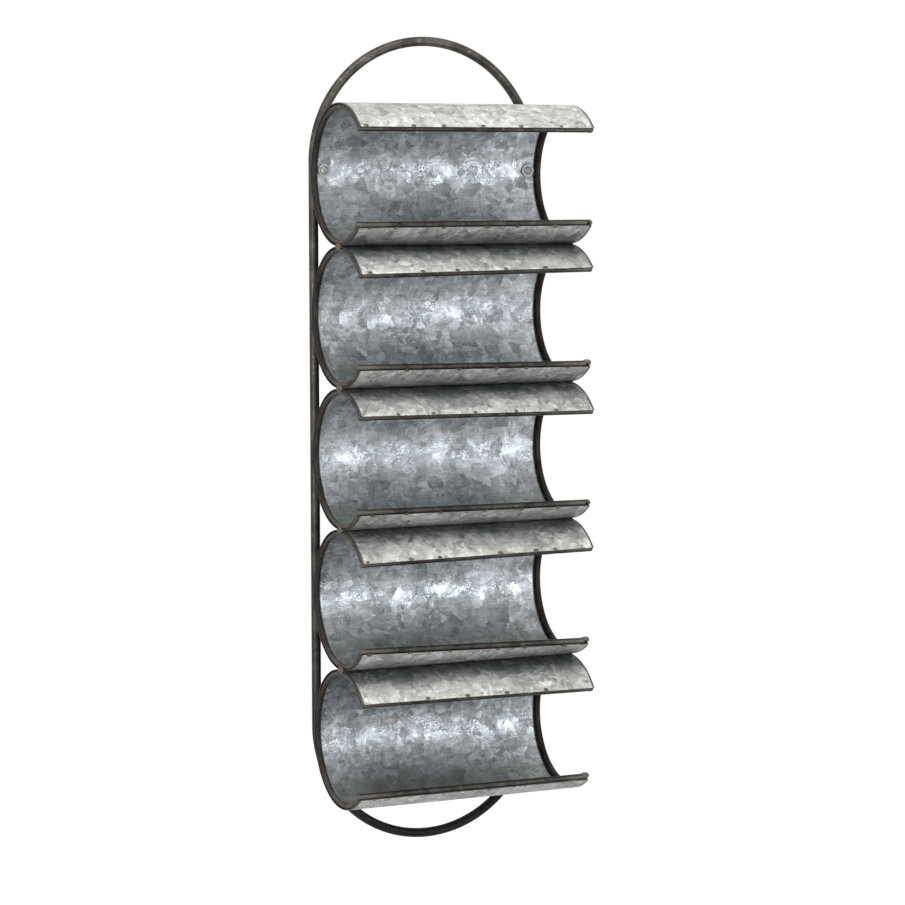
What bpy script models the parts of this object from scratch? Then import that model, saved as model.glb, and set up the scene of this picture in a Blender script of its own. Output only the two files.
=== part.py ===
"""Wall wine rack: rolled sheet cradles on wire hoops and lip rods, stacked on a looped tube frame.

Units are metres, +Z is up and the front faces -Y. The wall is the plane Y = 0. The origin is on the
wall, in the middle of the rack's width, level with the underside of the frame's top arch, where a
hook carries it.
"""

import math

import bmesh
import bpy
from mathutils import Vector

# Cradles
CRADLE_COUNT = 5
CRADLE_LENGTH = 0.253
CRADLE_RADIUS = 0.06925
SHEET_THICKNESS = 0.0008
HOOP_WIRE = 0.005
LIP_ROD = 0.006
UPPER_LIP_LAP = 0.0023
LOWER_LIP_LAP = 0.0006

# Tube frame, as wide outside as the cradles are long: how far its straight stiles run above the top
# cradle's axis, and how far above the bottom cradle's axis they stop
FRAME_TUBE = 0.0095
STILE_TOP_RUN = 0.0119
STILE_BOTTOM_STOP = 0.0021

# Welds
JUNCTION_WELD_WIDTH = 0.015
JUNCTION_WELD_HEIGHT = 0.0105
JUNCTION_WELD_DEPTH = 0.0018
STILE_WELD_LENGTH = 0.012
STILE_WELD_OFFSET = 0.007
STILE_WELD_LEG = 0.005
STILE_WELD_BULGE = 0.0005

# Fixings of the top cradle
SCREW_SHANK = 0.004
SCREW_HEAD = 0.0086
SCREW_HEAD_HEIGHT = 0.0026
SCREW_HOLE_CLEARANCE = 0.0006
WASHER_WIDTH = 0.013
WASHER_THICKNESS = 0.001
BOSS_WIDTH = 0.0074
BOSS_BACK_WALL = 0.002
FIXING_RISE = 0.0045

# Clearance between pieces that touch, and how far a cutter runs past what it cuts
SEAT_GAP = 0.0003
CUT_OVERRUN = 0.002

# Hand-set lips, in degrees from level at the rod's middle, as left end and right end, top cradle first
UPPER_LIP_ANGLES = ((42.5, 42.5), (40.5, 44.0), (43.0, 40.5), (39.0, 41.5), (40.5, 38.5))
LOWER_LIP_ANGLES = ((48.0, 47.0), (45.5, 49.0), (47.5, 50.0), (43.0, 52.0), (49.5, 52.0))

# Angles around a cradle are in degrees from the front, over the top
TOP_ANGLE = 90.0
BACK_ANGLE = 180.0
BOTTOM_ANGLE = 270.0
FULL_TURN = 360.0

# Angles and shares of the weld beads
WELD_TOE_ANGLE = 32.0
WELD_CROWN_ANGLE = 80.0
WELD_END_SHARE = 0.9
DOME_ANGLES = (0.0, 30.0, 55.0, 75.0)

# Round head of a screw: share of its height, and share of its radius
HEAD_DOME_SHARES = ((0.0, 1.0), (0.35, 0.97), (0.7, 0.8), (0.93, 0.5), (1.0, 0.22))

# Segment counts
LIP_SEGMENTS = 6
BACK_SEGMENTS = 20
ARCH_SEGMENTS = 20
WIRE_SIDES = 8
ROD_SIDES = 10
TUBE_SIDES = 12
WELD_SIDES = 12
WELD_STATIONS = 5
FIXING_SIDES = 16
SMOOTH_ANGLE = math.radians(50.0)

# Sizes that follow from the ones above
SHEET_INNER_RADIUS = CRADLE_RADIUS - SHEET_THICKNESS
HOOP_RADIUS = SHEET_INNER_RADIUS - SEAT_GAP - HOOP_WIRE / 2
ROD_RADIUS = SHEET_INNER_RADIUS - SEAT_GAP - LIP_ROD / 2
PITCH = 2 * CRADLE_RADIUS + SEAT_GAP
AXIS_DEPTH = -(FRAME_TUBE + SEAT_GAP + CRADLE_RADIUS)
FRAME_BEND = (CRADLE_LENGTH - FRAME_TUBE) / 2
TOP_AXIS_HEIGHT = -(STILE_TOP_RUN + FRAME_BEND - FRAME_TUBE / 2)
FIXING_ANGLE = math.asin(FIXING_RISE / CRADLE_RADIUS)
FIXING_OFFSET = FRAME_BEND - FRAME_TUBE / 2 - SEAT_GAP - BOSS_WIDTH / 2

SIDES = {"left": -1, "right": 1}


def clear_scene():
    """Remove every object that the scene starts with."""
    for thing in list(bpy.data.objects):
        bpy.data.objects.remove(thing, do_unlink=True)


def make_material(name, colour, roughness, metallic):
    """Make a plain metal finish."""
    material = bpy.data.materials.new(name)
    material.use_nodes = True
    shader = material.node_tree.nodes["Principled BSDF"]
    shader.inputs["Base Color"].default_value = (*colour, 1.0)
    shader.inputs["Roughness"].default_value = roughness
    shader.inputs["Metallic"].default_value = metallic
    return material


def axis_height(index):
    """Height of a cradle's axis, counted from the top cradle."""
    return TOP_AXIS_HEIGHT - index * PITCH


def turn_around_axis(angle):
    """Unit direction from a cradle's axis at an angle in degrees from the front, over the top."""
    turn = math.radians(angle)
    return Vector((0.0, -math.cos(turn), math.sin(turn)))


def spread(start, end, count):
    """Evenly spaced values from start to end, both ends included."""
    return [start + (end - start) * step / count for step in range(count + 1)]


def ring(centre, first, second, radius, sides):
    """Points of a circle in the plane of two unit directions."""
    turns = [2 * math.pi * side / sides for side in range(sides)]
    return [centre + radius * (math.cos(turn) * first + math.sin(turn) * second) for turn in turns]


def skin(name, rings, material, closed=False):
    """Make one closed body from rings of equal length, capped at both ends unless it is closed."""
    mesh = bpy.data.meshes.new(name)
    shape = bmesh.new()
    loops = [[shape.verts.new(point) for point in points] for points in rings]
    pairs = list(zip(loops, loops[1:]))
    if closed:
        pairs.append((loops[-1], loops[0]))
    for near, far in pairs:
        for here in range(len(near)):
            there = (here + 1) % len(near)
            shape.faces.new((near[here], near[there], far[there], far[here]))
    if not closed:
        shape.faces.new(loops[0])
        shape.faces.new(loops[-1])
    bmesh.ops.recalc_face_normals(shape, faces=shape.faces)
    shape.to_mesh(mesh)
    shape.free()
    mesh.shade_smooth()
    mesh.set_sharp_from_angle(angle=SMOOTH_ANGLE)
    piece = bpy.data.objects.new(name, mesh)
    piece.data.materials.append(material)
    bpy.context.collection.objects.link(piece)
    return piece


def lip_angles(index, across):
    """Angles of a cradle's two lip rods at a place across its length."""
    share = across / CRADLE_LENGTH + 1 / 2
    upper_left, upper_right = UPPER_LIP_ANGLES[index % len(UPPER_LIP_ANGLES)]
    lower_left, lower_right = LOWER_LIP_ANGLES[index % len(LOWER_LIP_ANGLES)]
    upper = upper_left + (upper_right - upper_left) * share
    lower = lower_left + (lower_right - lower_left) * share
    return upper, FULL_TURN - lower


def hoop_angles(index, across):
    """Angles of a hoop's stations, from its upper end over the back to its lower end."""
    upper, lower = lip_angles(index, across)
    trim = math.degrees(math.asin((LIP_ROD / 2 + SEAT_GAP) / ROD_RADIUS))
    over_top = spread(upper + trim, TOP_ANGLE, LIP_SEGMENTS)
    over_back = spread(TOP_ANGLE, BOTTOM_ANGLE, BACK_SEGMENTS)
    under = spread(BOTTOM_ANGLE, lower - trim, LIP_SEGMENTS)
    return over_top + over_back[1:] + under[1:]


def sheet_angles(index, across):
    """Angles of a sheet's stations, which run on past the hoop to lap each lip rod."""
    upper, lower = lip_angles(index, across)
    upper_edge = upper - math.degrees(UPPER_LIP_LAP / CRADLE_RADIUS)
    lower_edge = lower + math.degrees(LOWER_LIP_LAP / CRADLE_RADIUS)
    return [upper_edge] + hoop_angles(index, across) + [lower_edge]


def make_sheet(index, material):
    """Roll one cradle's sheet."""
    axis = Vector((0.0, AXIS_DEPTH, axis_height(index)))
    end = Vector((CRADLE_LENGTH / 2, 0.0, 0.0))
    left_angles = sheet_angles(index, -CRADLE_LENGTH / 2)
    right_angles = sheet_angles(index, CRADLE_LENGTH / 2)
    rings = []
    for left, right in zip(left_angles, right_angles):
        toward_left = turn_around_axis(left)
        toward_right = turn_around_axis(right)
        rings.append(
            (
                axis - end + CRADLE_RADIUS * toward_left,
                axis + end + CRADLE_RADIUS * toward_right,
                axis + end + SHEET_INNER_RADIUS * toward_right,
                axis - end + SHEET_INNER_RADIUS * toward_left,
            )
        )
    return skin(f"cradle_sheet_{index + 1}", rings, material)


def make_hoop(index, side, material):
    """Bend one end hoop inside its sheet."""
    across = SIDES[side] * (CRADLE_LENGTH - HOOP_WIRE) / 2
    axis = Vector((across, AXIS_DEPTH, axis_height(index)))
    along = Vector((1.0, 0.0, 0.0))
    rings = []
    for angle in hoop_angles(index, across):
        outward = turn_around_axis(angle)
        rings.append(ring(axis + HOOP_RADIUS * outward, outward, along, HOOP_WIRE / 2, WIRE_SIDES))
    return skin(f"hoop_{side}_{index + 1}", rings, material)


def make_lip_rod(index, edge, material):
    """Lay one straight rod inside the upper or lower edge of a sheet."""
    choice = 0 if edge == "upper" else 1
    rings = []
    for sign in SIDES.values():
        across = sign * CRADLE_LENGTH / 2
        angle = lip_angles(index, across)[choice]
        outward = turn_around_axis(angle)
        around = turn_around_axis(angle + TOP_ANGLE)
        centre = Vector((across, AXIS_DEPTH, axis_height(index))) + ROD_RADIUS * outward
        rings.append(ring(centre, outward, around, LIP_ROD / 2, ROD_SIDES))
    return skin(f"lip_rod_{edge}_{index + 1}", rings, material)


def make_frame(material):
    """Bend the tube loop: two straight stiles joined by a half-round arch above and below."""
    top = TOP_AXIS_HEIGHT + STILE_TOP_RUN
    bottom = axis_height(CRADLE_COUNT - 1) + STILE_BOTTOM_STOP
    backward = Vector((0.0, 1.0, 0.0))
    stations = [(top, turn) for turn in spread(0.0, math.pi, ARCH_SEGMENTS)]
    stations += [(bottom, turn) for turn in spread(math.pi, 2 * math.pi, ARCH_SEGMENTS)]
    rings = []
    for height, turn in stations:
        outward = Vector((math.cos(turn), 0.0, math.sin(turn)))
        centre = Vector((0.0, -FRAME_TUBE / 2, height)) + FRAME_BEND * outward
        rings.append(ring(centre, outward, backward, FRAME_TUBE / 2, TUBE_SIDES))
    return skin("wall_frame", rings, material, closed=True)


def make_junction_weld(index, side, material):
    """Dome of weld over the end faces of two hoops, where cradles index and index + 1 touch."""
    out = Vector((SIDES[side], 0.0, 0.0))
    deep = Vector((0.0, 1.0, 0.0))
    up = Vector((0.0, 0.0, 1.0))
    base = Vector((0.0, AXIS_DEPTH, axis_height(index) - PITCH / 2))
    base += (CRADLE_LENGTH / 2 + SEAT_GAP) * out
    rings = []
    for angle in DOME_ANGLES:
        rise = JUNCTION_WELD_DEPTH * math.sin(math.radians(angle))
        reach = math.cos(math.radians(angle))
        width = reach * JUNCTION_WELD_WIDTH / 2 * deep
        height = reach * JUNCTION_WELD_HEIGHT / 2 * up
        rings.append(ring(base + rise * out, width, height, 1.0, WELD_SIDES))
    return skin(f"junction_weld_{side}_{index + 1}", rings, material)


def stile_weld_section(side, height, fullness, along):
    """One cross-section of a stile weld: along the stile, over the crown and along the sheet."""
    inward = -SIDES[side]
    stile = Vector((SIDES[side] * FRAME_BEND, -FRAME_TUBE / 2, height))
    clear = FRAME_TUBE / 2 + SEAT_GAP
    sheet_clear = CRADLE_RADIUS + SEAT_GAP
    sheet_depth = AXIS_DEPTH + math.sqrt(sheet_clear**2 - along**2)
    crown_angle = WELD_TOE_ANGLE + (WELD_CROWN_ANGLE - WELD_TOE_ANGLE) * fullness
    stile_side = []
    for angle in spread(WELD_TOE_ANGLE, crown_angle, 2):
        turn = math.radians(angle)
        stile_side.append(stile + clear * Vector((inward * math.sin(turn), -math.cos(turn), 0.0)))
    toe = Vector((stile_side[0].x, sheet_depth, height))
    foot = toe + Vector((inward * STILE_WELD_LEG * fullness, 0.0, 0.0))
    crown = (stile_side[-1] + foot) / 2
    crown += STILE_WELD_BULGE * fullness * Vector((inward, 1.0, 0.0)).normalized()
    return stile_side + [crown, foot, toe]


def make_stile_weld(index, side, material):
    """Bead in the crevice between a stile's inner side and the back of a sheet, clear of the bend."""
    half = STILE_WELD_LENGTH / 2 * WELD_END_SHARE
    place = STILE_WELD_OFFSET if index == CRADLE_COUNT - 1 else -STILE_WELD_OFFSET
    rings = []
    for offset in spread(-half, half, WELD_STATIONS - 1):
        fullness = math.sqrt(1 - (2 * offset / STILE_WELD_LENGTH) ** 2)
        along = place + offset
        rings.append(stile_weld_section(side, axis_height(index) + along, fullness, along))
    return skin(f"stile_weld_{side}_{index + 1}", rings, material)


def fixing_line(side):
    """Point on the top cradle's axis, and the three directions, that a fixing follows."""
    origin = Vector((SIDES[side] * FIXING_OFFSET, AXIS_DEPTH, TOP_AXIS_HEIGHT))
    out = Vector((0.0, math.cos(FIXING_ANGLE), math.sin(FIXING_ANGLE)))
    across = Vector((1.0, 0.0, 0.0))
    return origin, out, across, out.cross(across)


def turned_rings(side, profile):
    """Rings of a turned piece on a fixing's line, from pairs of distance and radius."""
    origin, out, across, up = fixing_line(side)
    return [ring(origin + reach * out, across, up, radius, FIXING_SIDES) for reach, radius in profile]


def fixing_reaches():
    """Distances from the cradle's axis to the washer's two faces, the head's seat and the wall."""
    washer_back = math.sqrt(SHEET_INNER_RADIUS**2 - (WASHER_WIDTH / 2) ** 2) - SEAT_GAP
    washer_front = washer_back - WASHER_THICKNESS
    head_seat = washer_front - SEAT_GAP
    wall = -AXIS_DEPTH / math.cos(FIXING_ANGLE)
    return washer_back, washer_front, head_seat, wall


def make_boss(side, material):
    """Blind threaded boss beside the stile, cut flat where it meets the wall."""
    _, _, _, wall = fixing_reaches()
    front = CRADLE_RADIUS + SEAT_GAP
    bore = SCREW_SHANK / 2 + SEAT_GAP
    profile = [(wall - BOSS_BACK_WALL, bore), (front, bore), (front, BOSS_WIDTH / 2), (wall, BOSS_WIDTH / 2)]
    rings = turned_rings(side, profile)
    _, out, _, _ = fixing_line(side)
    rings[-1] = [point - out * (point.y / out.y) for point in rings[-1]]
    return skin(f"fixing_boss_{side}", rings, material)


def make_washer(side, material):
    """Flat washer between the screw's head and the sheet."""
    back, front, _, _ = fixing_reaches()
    bore = SCREW_SHANK / 2 + SEAT_GAP
    outer = WASHER_WIDTH / 2
    profile = [(back, outer), (front, outer), (front, bore), (back, bore)]
    return skin(f"fixing_washer_{side}", turned_rings(side, profile), material, closed=True)


def make_screw(side, material):
    """Round-headed screw through the washer, the sheet and into the boss."""
    _, _, seat, wall = fixing_reaches()
    tip = wall - BOSS_BACK_WALL - SEAT_GAP
    profile = [(tip, SCREW_SHANK / 2), (seat, SCREW_SHANK / 2)]
    for height_share, radius_share in HEAD_DOME_SHARES:
        profile.append((seat - SCREW_HEAD_HEIGHT * height_share, SCREW_HEAD / 2 * radius_share))
    return skin(f"fixing_screw_{side}", turned_rings(side, profile), material)


def cut_screw_hole(sheet, side, material):
    """Drill a sheet for a fixing screw."""
    radius = SCREW_SHANK / 2 + SCREW_HOLE_CLEARANCE
    profile = [(SHEET_INNER_RADIUS - CUT_OVERRUN, radius), (CRADLE_RADIUS + CUT_OVERRUN, radius)]
    cutter = skin(f"screw_hole_{side}", turned_rings(side, profile), material)
    cutter.hide_render = True
    cutter.display_type = "WIRE"
    cut = sheet.modifiers.new(f"screw_hole_{side}", "BOOLEAN")
    cut.operation = "DIFFERENCE"
    cut.solver = "EXACT"
    cut.object = cutter


def main():
    """Build the rack."""
    clear_scene()
    galvanised = make_material("galvanised_sheet", (0.52, 0.55, 0.58), 0.45, 0.85)
    dark_wire = make_material("dark_wire", (0.10, 0.09, 0.08), 0.5, 0.8)
    dark_tube = make_material("dark_tube", (0.07, 0.065, 0.06), 0.45, 0.8)
    weld_metal = make_material("weld_metal", (0.16, 0.12, 0.10), 0.6, 0.8)
    fixing_steel = make_material("fixing_steel", (0.45, 0.45, 0.46), 0.4, 0.9)
    make_frame(dark_tube)
    for index in range(CRADLE_COUNT):
        sheet = make_sheet(index, galvanised)
        for edge in ("upper", "lower"):
            make_lip_rod(index, edge, dark_wire)
        for side in SIDES:
            make_hoop(index, side, dark_wire)
            make_stile_weld(index, side, weld_metal)
            if index == 0:
                cut_screw_hole(sheet, side, galvanised)
            if index < CRADLE_COUNT - 1:
                make_junction_weld(index, side, weld_metal)
    for side in SIDES:
        make_boss(side, dark_tube)
        make_washer(side, fixing_steel)
        make_screw(side, fixing_steel)


main()
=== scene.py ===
"""Looks of the wall wine rack: rolled zinc cradles, dark iron wire and tube, welds and fixings.

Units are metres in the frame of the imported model: +Z is up, the front faces -Y and the wall is Y = 0.
Angles around a cradle are in radians from the front, over the top.
"""

import logging
import math
import random
from collections.abc import Callable, Iterable, Iterator
from contextlib import contextmanager
from dataclasses import dataclass, field
from enum import Enum

import bmesh
import bpy
from mathutils import Matrix, Vector
from mathutils.kdtree import KDTree


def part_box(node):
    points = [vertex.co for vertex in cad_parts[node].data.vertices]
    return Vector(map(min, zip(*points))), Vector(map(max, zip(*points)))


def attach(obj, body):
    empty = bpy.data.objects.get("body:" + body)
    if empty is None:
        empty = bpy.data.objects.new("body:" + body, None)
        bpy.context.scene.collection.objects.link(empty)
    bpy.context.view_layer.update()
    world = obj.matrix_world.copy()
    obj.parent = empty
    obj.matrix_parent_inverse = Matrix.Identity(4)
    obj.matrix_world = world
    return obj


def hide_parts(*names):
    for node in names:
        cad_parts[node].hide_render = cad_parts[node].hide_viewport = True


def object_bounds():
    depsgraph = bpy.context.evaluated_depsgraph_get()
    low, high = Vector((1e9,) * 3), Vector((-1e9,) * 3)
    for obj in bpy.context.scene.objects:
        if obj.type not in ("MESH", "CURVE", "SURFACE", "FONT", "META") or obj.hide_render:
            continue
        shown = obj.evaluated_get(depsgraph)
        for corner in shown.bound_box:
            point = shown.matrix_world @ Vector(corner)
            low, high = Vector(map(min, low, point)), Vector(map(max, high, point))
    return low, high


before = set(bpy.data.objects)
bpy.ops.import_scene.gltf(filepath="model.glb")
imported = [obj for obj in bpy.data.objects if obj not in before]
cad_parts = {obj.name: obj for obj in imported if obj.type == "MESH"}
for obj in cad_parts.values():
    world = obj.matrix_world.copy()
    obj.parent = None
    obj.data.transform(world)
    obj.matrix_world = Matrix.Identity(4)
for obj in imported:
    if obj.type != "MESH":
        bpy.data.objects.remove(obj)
CAD_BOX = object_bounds()
CRADLE_COUNT = 5
ALONG = Vector((1.0, 0.0, 0.0))
BACKWARD = Vector((0.0, 1.0, 0.0))
UPWARD = Vector((0.0, 0.0, 1.0))
QUARTER = math.pi / 2
WHITE = (1.0, 1.0, 1.0)
# Clearance between pieces that touch on the real rack
SEAT_GAP = 0.0003
# Share of a unit direction that has to lie along another one to count as parallel
PARALLEL_SHARE = 0.9
# Seeds of the weld beads' shapes, and of how the frame's welds are piled
BEAD_SEEDS = (3, 5, 8)
PILE_SEED = 11

log = logging.getLogger("wine_rack")
Colour = tuple[float, float, float]
Place = tuple[float, float, float]
Span = tuple[float, ...]
Socket = bpy.types.NodeSocket
Piece = bpy.types.Object

# Tack welds along the lips, as shares of the cradle's length from the left, top cradle first
UPPER_TACK_SHARES = (
    (0.03, 0.227, 0.354, 0.521, 0.683, 0.857),
    (0.04, 0.262, 0.41, 0.617, 0.79),
    (0.158, 0.305, 0.484, 0.66, 0.834),
    (0.024, 0.207, 0.328, 0.59, 0.745, 0.83),
    (0.277, 0.446, 0.616, 0.787),
)
LOWER_TACK_SHARES = (
    (0.05, 0.159, 0.363, 0.547, 0.677, 0.841),
    (0.202, 0.423, 0.585, 0.716, 0.9),
    (0.058, 0.2, 0.347, 0.539, 0.7, 0.858),
    (0.037, 0.207, 0.383, 0.591, 0.713, 0.888),
    (0.065, 0.22, 0.357, 0.559, 0.718, 0.888),
)
# Cradles whose lower lip ends in a knob that stands above the rod
RAISED_KNOBS = (2, 4, 5)
# Weld marks that show inside the cradles: number from the top, place across and height above the axis
WELD_MARKS = ((3, 0.1130, 0.0134), (4, -0.1150, 0.0116), (4, 0.1135, 0.0138), (5, -0.1148, 0.0139))
# Rings of one weld mark, and the ring about the right washer: radius, strength and width
MARK_RINGS = ((0.0, 0.85, 0.0012), (0.0031, 0.8, 0.0014), (0.0060, 0.55, 0.0014))
WASHER_RING = (0.0073, 0.6, 0.0028)


class Side(Enum):
    """End of the rack, as seen from the front."""

    LEFT = -1
    RIGHT = 1

    @property
    def label(self) -> str:
        """Word for piece and node names."""
        return self.name.lower()


class Edge(Enum):
    """Long edge of a cradle."""

    UPPER = "upper"
    LOWER = "lower"


class Slot(Enum):
    """Names of the material slots."""

    SHEET = "galvanised_sheet"
    WIRE = "dark_wire"
    TUBE = "dark_tube"
    WELD = "weld_metal"
    STEEL = "fixing_steel"


def select_only(piece: Piece) -> None:
    """Make a piece the only selected one, and the active one.

    Args:
        piece: The piece to work on.
    """
    bpy.ops.object.select_all(action="DESELECT")
    piece.select_set(True)
    bpy.context.view_layer.objects.active = piece


@contextmanager
def editing(piece: Piece, kind: str = "VERT") -> Iterator[None]:
    """Hold a piece open in edit mode, with nothing selected at the start.

    Args:
        piece: The piece to edit.
        kind: What is picked: VERT, EDGE or FACE.
    """
    select_only(piece)
    bpy.ops.object.mode_set(mode="EDIT")
    bpy.ops.mesh.select_mode(type=kind)
    bpy.ops.mesh.select_all(action="DESELECT")
    yield
    bpy.ops.object.mode_set(mode="OBJECT")


def pick_vertices(piece: Piece, test: Callable[[Vector], bool]) -> None:
    """Add vertices to the selection by their place.

    Args:
        piece: The piece open in edit mode.
        test: Says whether a place is wanted.
    """
    shape = bmesh.from_edit_mesh(piece.data)
    for vertex in shape.verts:
        if test(vertex.co):
            vertex.select_set(True)
    shape.select_flush_mode()
    bmesh.update_edit_mesh(piece.data)


def pick_edges(piece: Piece, test: Callable[[Vector, Vector], bool]) -> None:
    """Add edges to the selection by their middle and direction.

    Args:
        piece: The piece open in edit mode.
        test: Says whether an edge with that middle and unit direction is wanted.
    """
    shape = bmesh.from_edit_mesh(piece.data)
    for edge in shape.edges:
        start, end = (vertex.co for vertex in edge.verts)
        if test((start + end) / 2, (end - start).normalized()):
            edge.select_set(True)
    bmesh.update_edit_mesh(piece.data)


def pick_faces(piece: Piece, test: Callable[[Vector, Vector], bool]) -> None:
    """Add faces to the selection by their centre and normal.

    Args:
        piece: The piece open in edit mode.
        test: Says whether a face with that centre and normal is wanted.
    """
    shape = bmesh.from_edit_mesh(piece.data)
    for face in shape.faces:
        if test(face.calc_center_median(), face.normal):
            face.select_set(True)
    bmesh.update_edit_mesh(piece.data)


def start_piece(name: str) -> Piece:
    """Name the primitive just added, and put its place and turn into its mesh.

    Args:
        name: The piece's name.

    Returns:
        The new piece.
    """
    piece = bpy.context.active_object
    piece.name = name
    piece.data.name = name
    select_only(piece)
    bpy.ops.object.transform_apply(location=True, rotation=True, scale=True)
    return piece


def turn_to(first: Vector, second: Vector) -> Matrix:
    """Turn that lays local X and Y along two unit directions at right angles.

    Args:
        first: Direction of local X.
        second: Direction of local Y.

    Returns:
        A 3 by 3 rotation.
    """
    return Matrix((first, second, first.cross(second))).transposed()


def add_ring(name: str, centre: Vector, first: Vector, second: Vector, radius: float, sides: int) -> Piece:
    """Add an open circle as a section to sweep.

    Args:
        name: The piece's name.
        centre: The circle's middle.
        first: One direction in its plane.
        second: The other direction in its plane.
        radius: The circle's radius.
        sides: Its number of sides.

    Returns:
        The new piece.
    """
    turn = turn_to(first, second).to_euler()
    bpy.ops.mesh.primitive_circle_add(
        vertices=sides, radius=radius, fill_type="NOTHING", location=centre, rotation=turn
    )
    return start_piece(name)


def extend(offset: Vector) -> None:
    """Extrude what is selected by an offset."""
    bpy.ops.mesh.extrude_region_move(TRANSFORM_OT_translate={"value": offset})


def close_up(piece: Piece, merge: float = 0.00002) -> None:
    """Merge doubled points, fill open rims and turn all faces outwards.

    Args:
        piece: The piece to close.
        merge: Distance under which points are merged.
    """
    with editing(piece):
        bpy.ops.mesh.select_all(action="SELECT")
        bpy.ops.mesh.remove_doubles(threshold=merge)
        bpy.ops.mesh.select_all(action="SELECT")
        bpy.ops.mesh.fill_holes(sides=0)
        bpy.ops.mesh.select_all(action="SELECT")
        bpy.ops.mesh.normals_make_consistent(inside=False)


def apply_modifier(piece: Piece, kind: str, **settings: object) -> None:
    """Add one modifier to a piece and apply it.

    Args:
        piece: The piece.
        kind: The modifier's type.
        settings: Its settings by name.
    """
    modifier = piece.modifiers.new(kind.lower(), kind)
    for name, value in settings.items():
        setattr(modifier, name, value)
    select_only(piece)
    bpy.ops.object.modifier_apply(modifier=modifier.name)


def smooth(piece: Piece, degrees: float = 40.0) -> None:
    """Shade a piece smooth, with edges sharper than an angle kept crisp."""
    select_only(piece)
    bpy.ops.object.shade_smooth_by_angle(angle=math.radians(degrees))


def copy_at(master: Piece, name: str, place: Matrix) -> Piece:
    """Copy a modelled piece with its own mesh to another place.

    Args:
        master: The piece to copy, modelled about the origin.
        name: The copy's name.
        place: Where it goes, put into its mesh.

    Returns:
        The copy.
    """
    mesh = master.data.copy()
    mesh.transform(place)
    mesh.name = name
    copy = bpy.data.objects.new(name, mesh)
    bpy.context.collection.objects.link(copy)
    return copy


def join_pieces(pieces: list[Piece], name: str) -> Piece:
    """Join pieces into one.

    Args:
        pieces: The pieces, of which the first one stays.
        name: The joined piece's name.

    Returns:
        The joined piece.
    """
    select_only(pieces[0])
    for piece in pieces[1:]:
        piece.select_set(True)
    bpy.ops.object.join()
    pieces[0].name = name
    return pieces[0]


def placed(middle: Vector, turn: Matrix, size: Iterable[float]) -> Matrix:
    """Scale about the origin, turn and move to a place.

    Args:
        middle: The place.
        turn: The turn.
        size: Factors along local X, Y and Z.

    Returns:
        A 4 by 4 matrix.
    """
    return Matrix.Translation(middle) @ turn.to_4x4() @ Matrix.Diagonal((*size, 1.0))


def finish_piece(
    piece: Piece, materials: list[bpy.types.Material], nodes: tuple[str, ...] = ()
) -> None:
    """Dress a piece, fix it to the rack's body and let it stand for its nodes.

    Args:
        piece: The finished mesh.
        materials: Its materials in slot order, or none where it has them already.
        nodes: The nodes that it stands for, if any.
    """
    if materials:
        piece.data.materials.clear()
    for material in materials:
        piece.data.materials.append(material)
    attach(piece, "root")
    if nodes:
        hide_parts(*nodes)
    log.info("%s: %d faces", piece.name, len(piece.data.polygons))


def node_points(node: str) -> list[Vector]:
    """Points of a node's own mesh."""
    return [vertex.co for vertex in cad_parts[node].data.vertices]


def smooth_fall(distance: float, start: float, end: float) -> float:
    """Fall smoothly from one to zero.

    Args:
        distance: Where the value is asked for.
        start: Distance up to which it is one.
        end: Distance from which it is zero.

    Returns:
        The value.
    """
    share = min(max((end - distance) / (end - start), 0.0), 1.0)
    return share * share * (3 - 2 * share)


@dataclass(frozen=True)
class Noise:
    """Cloudy noise: size of its features in metres, number of finer layers and their strength."""

    size: float
    detail: float = 3.0
    roughness: float = 0.5


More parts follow.
